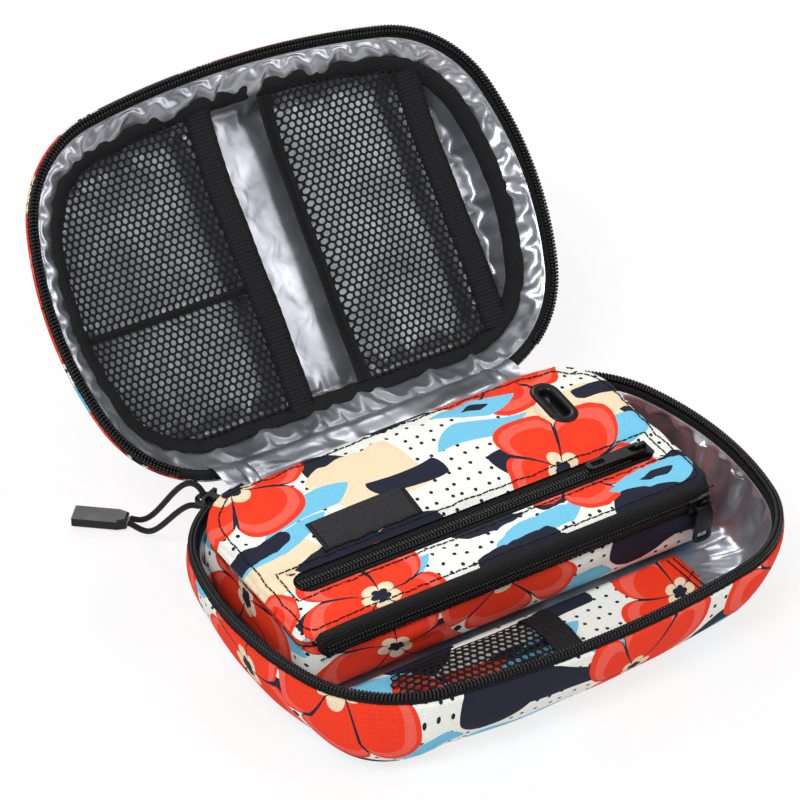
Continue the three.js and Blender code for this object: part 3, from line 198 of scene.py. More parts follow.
def printed_canvas():
    """Plain-woven polyester, transfer printed: matt ink with a fine thread grid, a little uneven in tone at
    random, with painted shade in the weave's hollows.
    """
    material, add = new_look("transfer_printed_polyester", Roughness=0.85, Specular_IOR_Level=0.25)
    flat = add("UVMap", uv_map="cloth")
    wander = add("TexNoise", {"Vector": flat, "Scale": every(45), "Detail": 0.0}, "Color", **PLANE)
    shift = add("VectorMath", (wander, (0.5, 0.5, 0.5)), operation="SUBTRACT")
    bent = add("VectorMath", (shift, (0.018, 0.018, 0), flat), operation="MULTIPLY_ADD")
    dots = add("TexVoronoi", {"Vector": flat, "Scale": every(6.2), "Randomness": 0.4}, "Distance", **CELLS)
    spot = add("Math", (dots, 0.14), operation="LESS_THAN")
    colour = add("Mix", {"Factor": spot, "A": PALE, "B": INK}, **MIX)
    field = add("TexNoise", {"Vector": flat, "Scale": every(70), "Detail": 0.0}, **PLANE)
    dark = add("Math", (field, 0.63), operation="GREATER_THAN")
    colour = add("Mix", {"Factor": dark, "A": colour, "B": INK}, **MIX)
    for cell, turn, slim, reach, ink in ((78, 0.5, 1.5, 0.26, CREAM), (38, 0.4, 2.8, 0.2, INK),
                                         (30, 1.2, 3.2, 0.25, SKY), (26, 2.3, 3.4, 0.25, INK)):
        colour = leaf_layer(add, bent, colour, cell, turn, slim, reach, ink, ink)
    colour = rosette_layer(add, bent, colour, 86, 3.1, 33)
    colour = leaf_layer(add, bent, colour, 56, 2.9, 2.6, 0.14, SKY, INK)
    threads = thread_grid(add, flat, 0.8)
    worn = add("TexNoise", {"Vector": flat, "Scale": every(1.1), "Detail": 3.0}, **PLANE)
    # Painted shade: the colour follows the thread heights, darker in the weave's hollows and lighter on the
    # threads, mixed with a random unevenness
    weave_shade_and_mottle = add("Math", (threads, 0.3, worn), operation="MULTIPLY_ADD")
    tone = add("MapRange", (weave_shade_and_mottle, 0.3, 1.3, 0.84, 1.04))
    toned = add("VectorMath", {0: colour, "Scale": tone}, operation="SCALE")
    return finish_look(material, add, toned, threads, 0.3, 0.25)


def silver_lining():
    """Metallised nylon: satin silver with soft streaks, low creases and a fine grain."""
    material, add = new_look("metallised_nylon", Metallic=0.8, Roughness=0.3)
    place = add("TexCoord", (), "Object")
    streaks = add("TexNoise", {"Vector": place, "Scale": every(25), "Detail": 3.0, "Distortion": 0.6})
    ramp = add("ValToRGB", (streaks,)).node
    for tone, position, code in zip(ramp.color_ramp.elements, (0.3, 0.7), ("#8e9098", "#c3c5cc")):
        tone.position, tone.color = position, linear(code)
    grain = add("TexNoise", {"Vector": place, "Scale": every(0.7), "Detail": 2.0})
    rough = add("MapRange", {"Value": grain, "To Min": 0.24, "To Max": 0.38})
    creases = add("TexNoise", {"Vector": place, "Scale": every(13), "Detail": 1.5, "Distortion": 0.9})
    height = add("Math", (grain, 0.02, creases), operation="MULTIPLY_ADD")
    return finish_look(material, add, ramp.outputs["Color"], height, 0.4, 1.6, rough)


def black_textile(name, pitch_mm, dark, light, relief, roughness):
    """Black woven or knitted polyester: dull, with a painted highlight that makes its threads or ribs a
    little lighter, and a random mottle.
    """
    material, add = new_look(name, Roughness=roughness, Specular_IOR_Level=0.3)
    flat = add("UVMap", uv_map="cloth")
    ribs = thread_grid(add, flat, pitch_mm)
    fuzz = add("TexNoise", {"Vector": flat, "Scale": every(1.4), "Detail": 3.0}, **PLANE)
    # Painted highlight and shade: the colour follows the rib heights, lighter on the ribs and darker between
    # them, mixed with random fuzz
    weave_shade_and_mottle = add("Math", (ribs, 0.4, fuzz), operation="MULTIPLY_ADD")
    tone = add("MapRange", {"Value": weave_shade_and_mottle, "From Min": 0.3, "From Max": 1.3})
    colour = add("Mix", {"Factor": tone, "A": linear(dark), "B": linear(light)}, **MIX)
    return finish_look(material, add, colour, ribs, relief, 0.4)


def moulded_black():
    """Injection-moulded nylon and enamelled zinc: satin black with a faint uneven gloss."""
    material, add = new_look("moulded_nylon", Roughness=0.35, Specular_IOR_Level=0.3)
    place = add("TexCoord", (), "Object")
    patch = add("TexNoise", {"Vector": place, "Scale": every(11), "Detail": 2.0})
    peel = add("TexNoise", {"Vector": place, "Scale": every(0.55), "Detail": 1.0})
    rough = add("MapRange", {"Value": patch, "To Min": 0.26, "To Max": 0.46})
    colour = add("Mix", {"Factor": patch, "A": linear("#070708"), "B": linear("#121215")}, **MIX)
    return finish_look(material, add, colour, peel, 0.12, 0.2, rough)


def hidden_fill(name, dark, light, cell_mm, roughness):
    """Foam or gel film behind the cloth: speckled, seen only where a part is lifted out."""
    material, add = new_look(name, Roughness=roughness)
    place = add("TexCoord", (), "Object")
    speckle = add("TexNoise", {"Vector": place, "Scale": every(cell_mm), "Detail": 2.0})
    colour = add("Mix", {"Factor": speckle, "A": linear(dark), "B": linear(light)}, **MIX)
    return finish_look(material, add, colour, speckle, 0.2, 0.3)


PRINT, SILVER, MOULDED = printed_canvas(), silver_lining(), moulded_black()
TAPE = black_textile("woven_polyester_tape", 1.1, "#060607", "#17171a", 0.5, 0.8)
BAND = black_textile("woven_elastic", 1.7, "#060607", "#18181c", 0.7, 0.75)
NET = black_textile("knitted_polyester_net", 0.6, "#060607", "#151518", 0.4, 0.75)
THREAD = black_textile("spun_polyester_thread", 0.5, "#050506", "#131316", 0.4, 0.6)
CORD = black_textile("braided_polyester_cord", 1.3, "#060607", "#17171a", 0.9, 0.65)
LABEL = black_textile("satin_weave_label", 0.8, "#0b0b0d", "#1d1d21", 0.3, 0.5)
FOAM = hidden_fill("closed_cell_polyethylene_foam", "#85888d", "#9ea1a6", 1.1, 0.9)
GEL = hidden_fill("polyethylene_gel_film", "#7fb6d2", "#a5d2e6", 17, 0.25)
LOOKS = {"black_moulded": MOULDED, "foam": FOAM, "gel_film": GEL, "silver_lining": SILVER,
         "printed_canvas": PRINT, "black_webbing": TAPE, "black_mesh": NET, "black_cord": CORD}
SLOTS = {look.name: slot for slot, look in LOOKS.items()}
SLOTS |= {BAND.name: "black_webbing", LABEL.name: "black_webbing"}


# Frames of the bodies
def leaned(x, y, z, angle, place):
    """Points turned about the X axis by an angle and moved to a place."""
    c, s = cos(angle), sin(angle)
    return np.stack([place[0] + x, place[1] + y * c - z * s, place[2] + y * s + z * c], axis=-1)


def in_base(points):
    return np.asarray(points, float)


def in_lid(points):
    """From the lid tray's frame, with its hinge side at +Y as in the base, to the open lid's place."""
    x, y, z = np.moveaxis(in_base(points), -1, 0)
    return leaned(x, LID_SHIFT - y, z - LID_DROP, LID_LEAN, (0, HINGE_Y, HINGE_Z))


def in_pouch(points):
    """From the pouch's tilted seam frame to its place in the case."""
    return leaned(*np.moveaxis(in_base(points), -1, 0), POUCH_TILT, (POUCH_X, POUCH_Y, POUCH_SEAM))


FRAMES = {None: in_base, "base": in_base, "lid": in_lid, "pouch": in_pouch}
UP, FORWARD = (0, 0, 1.0), (0, -1.0, 0)


def way(body, vector):
    """A direction of a body's own frame, as it lies in the scene."""
    return FRAMES[body](vector) - FRAMES[body](np.zeros(3))


# Mesh building
def xyz(*parts):
    """Points from their coordinates, each a row of values or one value for all."""
    return np.stack(np.broadcast_arrays(*parts), axis=-1)


def unit(vectors):
    return vectors / np.linalg.norm(vectors, axis=-1, keepdims=True)


def run_of(path):
    """Length along a path up to each of its points."""
    return np.append(0, np.cumsum(np.linalg.norm(np.diff(path, axis=0), axis=-1)))


def at_run(path, run, at):
    """Points at some lengths along a path."""
    return np.stack([np.interp(at, run, values) for values in path.T], axis=1)


def runs(points, axis):
    """Mean run length along one axis of a grid of points."""
    steps = np.linalg.norm(np.diff(points, axis=axis), axis=2).mean(axis=1 - axis)
    return np.append(0, np.cumsum(steps))


def make(name, points, faces, look, body, nodes, uv):
    """A mesh piece from points in millimetres, riding on a body, in place of some CAD nodes."""
    mesh = bpy.data.meshes.new(name)
    mesh.from_pydata((np.reshape(points, (-1, 3)) * MM).tolist(), [], faces)
    mesh.uv_layers.new(name="cloth").data.foreach_set("uv", np.asarray(uv, np.float32).ravel() * MM)
    mesh.polygons.foreach_set("use_smooth", np.ones(len(mesh.polygons), bool))
    mesh.materials.append(look)
    mesh.validate()
    piece = bpy.data.objects.new(name, mesh)
    bpy.context.collection.objects.link(piece)
    if body:
        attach(piece, body)
    if nodes:
        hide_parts(*nodes.split())
    return piece


def grid_faces(points, closed=False, flip=False, keep=None, layout=None, cap=False):
    """Faces and flat layout of a grid of points: open, closed round its columns, or capped."""
    rows, cols = points.shape[:2]
    if layout is None:
        wide = np.concatenate([points, points[:, :1]], axis=1) if closed else points
        layout = np.stack(np.meshgrid(runs(wide, 1), runs(points, 0)), axis=2)
    faces, uv = [], []
    for r in range(rows - 1):
        for c in range(cols if closed else cols - 1):
            if keep is not None and not keep[r, c]:
                continue
            n = (c + 1) % cols
            corners = [(r, c, c), (r, n, c + 1), (r + 1, n, c + 1), (r + 1, c, c)]
            if flip:
                corners.reverse()
            faces.append([a * cols + b for a, b, _ in corners])
            uv += [layout[a, min(w, layout.shape[1] - 1)] for a, _, w in corners]
    if cap:
        for c in range((cols - 1) // 2):
            across = list(dict.fromkeys((c, c + 1, cols - 2 - c, cols - 1 - c)))
            if flip:
                across.reverse()
            faces.append([(rows - 1) * cols + k for k in across])
            uv += [layout[rows - 1, k] for k in across]
    return faces, uv


def grid_piece(name, points, look, body, nodes, **options):
    """A piece from a grid of points in its body's own frame."""
    points = FRAMES[body](points)
    faces, uv = grid_faces(points, **options)
    return make(name, points, faces, look, body, nodes, uv)


def bake(piece, kind, **settings):
    """Adds a modifier to a piece and applies it."""
    modifier = piece.modifiers.new("form", kind)
    for key, value in settings.items():
        setattr(modifier, key, value)
    done = bpy.data.meshes.new_from_object(piece.evaluated_get(bpy.context.evaluated_depsgraph_get()))
    piece.modifiers.clear()
    piece.data = done


def thicken(piece, thickness, offset=-1):
    bake(piece, "SOLIDIFY", thickness=thickness * MM, offset=offset)


# Added to a band's width, so that the rectangle given for it isn't smaller than the area of the mesh
BAND_MARGIN = 0.1


def cut_from(piece, width_mm, length_mm, held, *rests_on, thickness=0):
    """Thickens a sewn cloth, where a thickness is given. The width and length of the rectangle it was cut
    from are not used; a band is given no length."""
    if thickness:
        thicken(piece, thickness)


CLOTH_SCALE, CLOTH_FRAMES = 0.01, 20


def settle(points, faces, pinned, growth, pressure=0.0, bend=0.3, cap=4.0):
    """Lets cloth that is cut a little too large find its folds, with some points sewn down."""
    mesh = bpy.data.meshes.new("cloth_rest")
    mesh.from_pydata((points * CLOTH_SCALE).tolist(), [], faces)
    cloth = bpy.data.objects.new("cloth_rest", mesh)
    bpy.context.collection.objects.link(cloth)
    cloth.vertex_groups.new(name="sewn").add([int(i) for i in pinned], 1.0, "REPLACE")
    modifier = cloth.modifiers.new("cloth", "CLOTH")
    stuff = modifier.settings
    stuff.quality, stuff.mass, stuff.air_damping = 6, 0.3, 3
    stuff.tension_stiffness, stuff.compression_stiffness, stuff.shear_stiffness = 15, 15, 5
    stuff.bending_stiffness, stuff.shrink_min, stuff.vertex_group_mass = bend, -growth, "sewn"
    stuff.use_pressure, stuff.uniform_pressure_force = pressure > 0, pressure
    stuff.effector_weights.gravity = 0
    modifier.collision_settings.use_collision = False
    modifier.point_cache.frame_start, modifier.point_cache.frame_end = 1, CLOTH_FRAMES
    scene = bpy.context.scene
    for step in range(1, CLOTH_FRAMES + 1):
        scene.frame_set(step)
    found = cloth.evaluated_get(bpy.context.evaluated_depsgraph_get()).to_mesh()
    flat = np.empty(3 * len(points))
    found.vertices.foreach_get("co", flat)
    bpy.data.objects.remove(cloth)
    scene.frame_set(1)
    move = flat.reshape(-1, 3) / CLOTH_SCALE - points
    far = np.linalg.norm(move, axis=1, keepdims=True)
    return points + move * np.minimum(1, cap / np.maximum(far, 1e-9))


def studs(name, centres, along, up, size, look, body, nodes="", top=0.6):
    """Many small blocks with narrowed tops, such as zip teeth or stitches: size is along, across and up."""
    template = [(s, w, 0) for s, w in ((-1, -1), (1, -1), (1, 1), (-1, 1))]
    template += [(s, w, 0.6) for s, w, _ in template] + [(s * top, w * top, 1) for s, w, _ in template]
    shape = np.array(template) * [size[0] / 2, size[1] / 2, size[2]]
    axes = (along, unit(np.cross(up, along)), up)
    points = centres[:, None] + sum(shape[None, :, k, None] * axis[:, None] for k, axis in enumerate(axes))
    sides = [[a + k, (a + 1) % 4 + k, (a + 1) % 4 + k + 4, a + k + 4] for k in (0, 4) for a in range(4)]
    block = sides + [[3, 2, 1, 0], [8, 9, 10, 11]]
    faces = [[i + 12 * k for i in face] for k in range(len(centres)) for face in block]
    flat = shape[:, :2] + shape[:, 2:]
    uv = [flat[i] for _ in centres for face in block for i in face]
    make(name, points, faces, look, body, nodes, uv)


def walk(path, body, up, pitch, closed=False):
    """Evenly spaced places along a path of a body, with the ways along it, up from it and across it."""
    path, up = FRAMES[body](path), way(body, up)
    line = np.concatenate([path, path[:1]]) if closed else path
    run = run_of(line)
    count = max(2, round(run[-1] / pitch))
    at = (np.arange(count) + 0.5) * run[-1] / count
    behind, place, ahead = (at_run(line, run, np.clip(at + step, 0, run[-1])) for step in (-0.3, 0, 0.3))
    if up.ndim > 1:
        up = up[np.argmin(((place[:, None] - path[None]) ** 2).sum(2), axis=1)]
    along, up = unit(ahead - behind), np.broadcast_to(up, place.shape)
    return place, along, up, np.cross(up, along)


def stitch(name, path, body, up=UP, closed=False, pitch=3.1):
    """A row of lockstitch thread along a path, each stitch a little off line."""
    place, along, up, across = walk(path, body, up, pitch, closed)
    off = np.random.default_rng(len(place)).uniform(-1, 1, (len(place), 2))
    along = along + across * 0.06 * off[:, :1]
    studs(name, place + across * 0.12 * off[:, 1:], along, up, (0.84 * pitch, 0.6, 0.4), THREAD, body)


def coil(name, path, body, up, width, height, nodes):
    """Zip coil: two slanting halves to each turn, so that the chain reads as a chevron."""
    place, along, up, across = walk(path, body, up, COIL_PITCH)
    places = [place + across * (side * width * 0.24) for side in (-1, 1)]
    ways = [along * cos(COIL_SLANT) + across * (side * sin(COIL_SLANT)) for side in (-1, 1)]
    halves = (np.concatenate(part) for part in (places, ways, (up, up)))
    studs(name, *halves, (0.78 * COIL_PITCH, 0.56 * width, height), MOULDED, body, nodes, top=0.5)


def waves(length, wavelengths, seed):
    """A smooth random wave that repeats over a length, as a function of the run along it."""
    rng = np.random.default_rng(seed)
    terms = [(max(1, round(length / w)), rng.uniform(0, 2 * pi), rng.uniform(0.5, 1)) for w in wavelengths]
    return lambda s: sum(a * np.sin(2 * pi * n * s / length + p) for n, p, a in terms) / len(terms)


# Cord strands of the main pull, on the route of the solids
STRANDS = {
    "upper": [
        (0, 4, 36.3), (0, 4, 37.3), (0.1, 5, 39.3), (0.3, 6.9, 40.8), (0.6, 9.4, 41.2), (1.2, 12.6, 40),
        (2, 16.4, 37), (2.9, 20.4, 32.6), (3.8, 24.4, 27.4), (4.8, 28.4, 21.8), (5.7, 32.4, 16.2),
        (6.5, 36.4, 11), (7, 40.2, 6.9), (7.1, 43.6, 4.4), (6.9, 46.6, 3.4), (6.5, 49.2, 3.2),
    ],
    "lower": [
        (0, 4, 35.7), (0, 4, 34.7), (-0.1, 5, 32.7), (-0.1, 6.9, 31.2), (-0.1, 9.4, 30.6), (0, 12.6, 28.9),
        (0.2, 16.4, 25.4), (0.5, 20.4, 20.9), (0.9, 24.4, 16), (1.4, 28.4, 11.2), (1.9, 32.4, 7),
        (2.4, 36.4, 4.1), (2.8, 40.2, 3), (3.1, 43.4, 2.9), (3.3, 46, 3.1), (3.2, 47.8, 3.2),
    ],
}


def slider_place(points):
    """From the main slider's frame to its place on the rim's rear left corner."""
    x, y, z = in_base(points).T
    px = CORNER + SIDE_BOW - LENGTH / 2 + CORNER * cos(SLIDER_ANGLE)
    py = WIDTH / 2 - CORNER + CORNER * sin(SLIDER_ANGLE)
    c, s = cos(SLIDER_ANGLE - pi / 2), sin(SLIDER_ANGLE - pi / 2)
    return xyz(px + x * c - y * s, py + x * s + y * c, z)


def spline(points, count):
    """A smooth curve through points, evenly sampled, and its length."""
    p = np.concatenate([2 * points[:1] - points[1:2], points, 2 * points[-1:] - points[-2:-1]])
    fine = []
    for a, b, c, d in zip(p, p[1:], p[2:], p[3:]):
        for t in np.linspace(0, 1, 10, endpoint=False):
            bend = (2 * a - 5 * b + 4 * c - d) * t * t + (3 * b - a - 3 * c + d) * t ** 3
            fine.append(0.5 * (2 * b + (c - a) * t + bend))
    fine = np.array(fine + [p[-2]])
    run = run_of(fine)
    return at_run(fine, run, np.linspace(0, run[-1], count)), run[-1]


def cord_strand(name):
    path, length = spline(slider_place(STRANDS[name]), 80)
    along = unit(np.gradient(path, axis=0))
    side = unit(np.cross(along, [1.0, 0.3, 0.2]))
    other = np.cross(along, side)
    rows = [path + CORD_DIAMETER / 2 * (cos(a) * side + sin(a) * other) for a in np.linspace(0, 2 * pi, 15)]
    piece = grid_piece(f"cord_{name}", rows, CORD, "base", f"pull_cord_{name}")


for strand in STRANDS:
    cord_strand(strand)


# Plan of the rim
def rim(step, start=None):
    """Points on the rim and the way out of it: the whole outline, or the zipped part from a start angle."""
    cx = LENGTH / 2 - CORNER - SIDE_BOW
    half = (WIDTH - 2 * CORNER - FRONT_BOW) / 2
    side = (half ** 2 + SIDE_BOW ** 2) / (2 * SIDE_BOW)
    front = (cx ** 2 + FRONT_BOW ** 2) / (2 * FRONT_BOW)
    a_side, a_front = atan2(half, side - SIDE_BOW), atan2(cx, front - FRONT_BOW)
    rear_y = WIDTH / 2 - CORNER
    front_y, end_x = rear_y - 2 * half, LENGTH / 2 - side - CORNER
    first = radians(start) if start else pi / 2
    arcs = [
        (-cx, rear_y, CORNER, first, pi - a_side),
        (-end_x, rear_y - half, side + CORNER, pi - a_side, pi + a_side),
        (-cx, front_y, CORNER, pi + a_side, 1.5 * pi - a_front),
        (0, front_y + front - FRONT_BOW, front + CORNER, 1.5 * pi - a_front, 1.5 * pi + a_front),
        (cx, front_y, CORNER, 1.5 * pi + a_front, 2 * pi - a_side),
        (end_x, rear_y - half, side + CORNER, 2 * pi - a_side, 2 * pi + a_side),
        (cx, rear_y, CORNER, 2 * pi + a_side, 3 * pi - first),
    ]
    place, out = [], []
    for x, y, radius, low, high in arcs:
        angles = np.linspace(low, high, max(2, round(radius * (high - low) / step)), endpoint=False)
        out.append(xyz(np.cos(angles), np.sin(angles)))
        place.append([x, y] + radius * out[-1])
    if start:
        place.append([[cx - CORNER * cos(first), rear_y + CORNER * sin(first)]])
        out.append([[-cos(first), sin(first)]])
    else:
        xs = np.linspace(cx, -cx, round(2 * cx / step), endpoint=False)
        place.append(xyz(xs, WIDTH / 2))
        out.append(xyz(0, np.ones_like(xs)))
    return np.concatenate(place), np.concatenate(out)


def ring(place, out, inset, z):
    """The rim's outline drawn in by an inset, at a height; either may differ round the rim."""
    flat = place - out * np.broadcast_to(inset, len(place))[:, None]
    return xyz(*flat.T, z)


def drawn_in(row, shares):
    """A ring drawn in to shares of its size, towards the middle of a floor."""
    return [row * [share, share, 1] for share in shares]


def facing(out, degrees, power):
    """How far a stretch of rim faces one way, from 0 to 1."""
    return np.clip(out @ [cos(radians(degrees)), sin(radians(degrees))], 0, 1) ** power


STRAIGHT_SHARE = 0.35


def outer_form(side, out, top, share):
    """Inset and height of the outer canvas, which draws in, at a share of the way from rim to floor."""
    if side == "base":
        corner = facing(out, 230, 4)
        radius, power = 31 - 16 * corner, 1.0
        taper = 3.5 * (1 - corner) + 1.8 * facing(out, 290, 4) - 2.0 * facing(out, 10, 4)
    else:
        corner = np.maximum(facing(out, 225, 8), facing(out, 315, 8))
        radius, power = np.full_like(corner, 23.0), 0.45
        taper = 10 + 5 * facing(out, 180, 2) - 9 * corner
    if share < STRAIGHT_SHARE:
        inset, z = np.zeros_like(radius), top + (radius - top) * share / STRAIGHT_SHARE
    else:
        angle = pi / 2 * (share - STRAIGHT_SHARE) / (1 - STRAIGHT_SHARE)
        inset, z = radius * (1 - cos(angle)), radius * (1 - sin(angle))
    return inset + taper * (1 - z / top) ** power, z


CANVAS_STEP, CANVAS_RISE = 2.5, 3.4
CANVAS_NODES = {"base": "base_wall_panel base_bottom_panel base_wall_foam base_floor_foam",
                "lid": "lid_wall_panel lid_top_panel lid_wall_foam lid_top_foam"}
FLOOR_PRINT = 700


def outer_canvas(side):
    """Outer canvas of a tray, softly uneven over its foam, with a seam round its floor."""
    place, out = rim(CANVAS_STEP)
    top = HEIGHTS[side] - TAPE_FOOT + CANVAS_RISE
    seed, softness = (3, 1.0) if side == "base" else (4, 0.5)
    rows = [ring(place, out, inset, top + rise) for inset, rise in ((2.4, 0.2), (1.6, 0.7), (0.9, 0.5))]
    run = run_of(rows[1])
    length = run[-1] + CANVAS_STEP
    soft = waves(length, (160, 95, 60, 38), seed)(run)
    for share in np.linspace(0, 1, 22):
        inset, z = outer_form(side, out, top, share)
        swell = sin(pi * share) * (0.5 + 1.2 * soft) * softness
        rows.append(ring(place, out, inset - swell, z))
    seam = len(rows) - 6
    rows.insert(seam + 1, rows[seam] + 0.15 * (rows[seam + 1] - rows[seam]) + [0, 0, 0.5])
    edge = len(rows) - 1
    rows = np.array(rows + drawn_in(rows[edge], 1 - np.arange(1, 7) / 6.4))
    wall = [xyz(np.append(run, length), depth) for depth in runs(rows, 0)[:seam + 1]]
    floor = np.concatenate([rows, rows[:, :1]], axis=1)[seam + 1:, :, :2] + FLOOR_PRINT
    options = dict(closed=True, cap=True, flip=side == "lid", layout=np.concatenate([wall, floor]))
    piece = grid_piece(side + "_canvas", rows, PRINT, side, CANVAS_NODES[side], **options)
    panel = rows[edge - 3] + xyz(*(out * 0.1).T, -0.1)
    stitch(side + "_panel_stitch", panel, side, xyz(*(out * 0.4).T, -0.9), closed=True)


# Silver lining of both trays, cut loose so that its walls fall in folds
LINING_STEP, HEM_RISE = 2.0, 3.3
LID_SECTION = ((7.5, 25.6), (9.2, 24.7), (11.0, 23.7), (12.8, 22.6), (14.6, 21.4), (16.2, 20.0), (17.4, 17.6),
               (18.5, 14.6), (19.8, 11.6), (21.6, 9.0), (24.2, 7.3), (27.5, 6.7))
LINING_FOLDS = {"base": ((15, 22, 33, 50), 2.6, 0.15), "lid": ((12, 17, 26, 40), 1.1, 0.08)}


def lining_rows(side, place, out):
    """Rings of the lining from hem to the middle of the floor, and how many of them are wall."""
    hem = HEIGHTS[side] - TAPE_FOOT + HEM_RISE
    rows = [ring(place, out, inset, hem - drop) for inset, drop in ((4.6, 0.4), (5.3, 0), (6.0, 1.2))]
    if side == "base":
        for share in np.linspace(0.06, 1, 16):
            inset, z = outer_form(side, out, hem - 2.0, share)
            deep = np.clip((hem - z) / hem, 0, 1) ** 3
            rows.append(ring(place, out, inset + WALL * (1 - 0.75 * deep), np.maximum(z, 0) + WALL * deep))
    else:
        toward_hinge = np.clip(out[:, 1], 0, 1)
        for inset, z in LID_SECTION:
            deep = np.clip((26 - z) / 6, 0, 1)
            level = np.maximum(z - 5.5 * toward_hinge * deep, LID_SECTION[-1][1])
            rows.append(ring(place, out, inset + 1.5 * toward_hinge * deep, level))
    return np.array(rows + drawn_in(rows[-1], 1 - np.arange(1, 11) / 10.4)), len(rows)


def lining(side):
    place, out = rim(LINING_STEP)
    rows, wall = lining_rows(side, place, out)
    run = run_of(rows[1])
    length = run[-1] + LINING_STEP
    wavelengths, deep, loose_cut = LINING_FOLDS[side]
    pleat, drift = waves(length, wavelengths, 11), waves(length, (60, 90), 13)
    for k in range(3, wall):
        share = (k - 2) / (wall - 2)
        push = deep * sin(pi * min(1, 1.25 * share)) * pleat(run + 7 * share * drift(run))
        rows[k, :, :2] -= out * push[:, None]
    x, y = rows[wall:, :, 0], rows[wall:, :, 1]
    rows[wall:, :, 2] += 0.35 * np.sin(x / 13 + 2 * np.sin(y / 21)) * np.sin(y / 17)
    faces, uv = grid_faces(rows, closed=True, cap=True, flip=side == "base")
    rest = rows.reshape(-1, 3)
    sewn = [*range(3 * len(place)), *range((wall - 1) * len(place), len(rest))]
    loose = settle(rest, faces, sewn, loose_cut, bend=0.15, cap=5)
    move = (loose - rest).reshape(rows.shape)
    outward = (move[..., :2] * out[None]).sum(2)
    move[..., :2] -= out[None] * np.maximum(outward - 0.8, 0)[..., None]
    piece = make(side + "_lining_cloth", FRAMES[side](rows + move), faces, SILVER, side, side + "_lining", uv)
    bake(piece, "SUBSURF", levels=1)
    cut_from(piece, LENGTH + 2 * HEIGHTS[side], WIDTH + 2 * HEIGHTS[side], "laid", side + "_canvas")


# Zip tape and coil of both trays
TAPE_STEP, TAPE_PITCH = 2.0, 2.8
TAPE_SECTION = ((1.6, 2.2), (1.1, 3.6), (1.0, 5.0), (1.5, 6.0), (2.6, 6.4), (3.7, 6.1), (4.5, 5.1),
                (5.1, 3.8), (5.6, 2.2))


def rim_zip(side):
    foot = HEIGHTS[side] - TAPE_FOOT
    place, out = rim(TAPE_STEP, TAPE_END)
    rows = [ring(place, out, inset, foot + rise) for inset, rise in TAPE_SECTION]
    grid_piece(side + "_tape", rows, TAPE, side, side + "_zip_tape", flip=side == "base")
    for name, inset, sign in (("outer", 1.0, 1), ("inner", 4.8, -1)):
        path = ring(place, out, inset, foot + 4.4)
        stitch(f"{side}_tape_stitch_{name}", path, side, xyz(*(out * sign).T, 0.3), pitch=TAPE_PITCH)
    path = ring(*rim(1.0, ZIP_END), 2.5, foot + 6.1)
    coil(side + "_coil", path, side, UP, 3.6, 1.9, side + "_zip_teeth")


for side in HEIGHTS:
    outer_canvas(side)
    lining(side)
    rim_zip(side)


# Hinge: printed canvas outside, wrinkled lining inside, bound at both ends
SEAM_X, HINGE_RISE = 64, 9


def hinge_path(x, inset, rise, count):
    """Side view of the hinge cloth at one place along it: from the base's rear wall over to the lid's."""
    past = max(abs(x) - (LENGTH / 2 - CORNER - SIDE_BOW), 0)
    edge = WIDTH / 2 - CORNER + sqrt((CORNER - inset) ** 2 - past ** 2)
    start = np.array([edge, HEIGHTS["base"] - TAPE_FOOT + 0.6])
    end = in_lid([x, edge, HEIGHTS["lid"] - TAPE_FOOT + 0.6])[1:]
    first, second = start + [0, rise], end + np.array([-sin(LID_LEAN), cos(LID_LEAN)]) * rise
    t = np.linspace(0, 1, count)[:, None]
    return (1 - t) ** 3 * start + 3 * t * (1 - t) ** 2 * first + 3 * t * t * (1 - t) * second + t ** 3 * end


def hinge_cloth(name, inset, half, fold, look, nodes):
    """A cloth of the hinge, crumpled along its run, shaped from the base over to the open lid."""
    xs, shares = np.linspace(-half, half, 110), np.linspace(0, 1, 22)
    paths = np.array([hinge_path(x, inset, HINGE_RISE, len(shares)) for x in xs])
    crumple, slow = waves(2 * half, (16, 23, 37, 60), 31), waves(2 * half, (70, 110), 32)
    rows = []
    for k, share in enumerate(shares):
        folds = crumple(xs + 14 * share * slow(xs)) + 0.6 * np.sin(9 * share + 2 * slow(xs))
        push = fold * sin(pi * share) * folds
        rows.append(xyz(xs, paths[:, k, 0] - 0.35 * push, paths[:, k, 1] + push))
    piece = grid_piece(name, rows, look, None, nodes)
    bake(piece, "SUBSURF", levels=1)
    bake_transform(piece)


def hinge_seam(end, x):
    """Bound seam at one end of the hinge."""
    path = hinge_path(x, 5.6, 9.6, 24)
    along = np.gradient(path, axis=0)
    across = unit(xyz(-along[:, 1], along[:, 0]))
    turns = np.linspace(0, 2 * pi, 13)
    rows = [xyz(x + 2.8 * cos(a), *(path + across * (1.1 * sin(a))).T) for a in turns]
    binding = grid_piece(f"hinge_seam_{end}", rows, SILVER, None, f"hinge_binding_{end}")
    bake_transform(binding)


hinge_cloth("hinge_canvas", 0.6, 75, 0.3, PRINT, "hinge_panel")
hinge_cloth("hinge_lining_cloth", 6.0, 76, 1.6, SILVER, "hinge_lining")
hinge_seam("left", -SEAM_X)
hinge_seam("right", SEAM_X)


# Binding and mesh pockets in the lid
PLACE, OUT = rim(3.0)
BOUND_INSET, BOUND_LEVEL, BAND_HALF, DIVIDER_Y = 16.5, 20.6, 6.2, 11
BINDING_SECTION = ((-3.2, 0.3), (-2.6, 1.2), (-1.2, 1.7), (0.4, 1.8), (1.8, 1.5), (3.0, 0.7), (3.6, -0.8))


def inset_at(x, y):
    """How far inside the rim's outline a point lies, and how much its nearest rim faces the hinge."""
    gaps = ((PLACE - [x, y]) * OUT).sum(1)
    nearest = int(np.argmin(gaps))
    return float(gaps[nearest]), float(max(OUT[nearest, 1], 0))


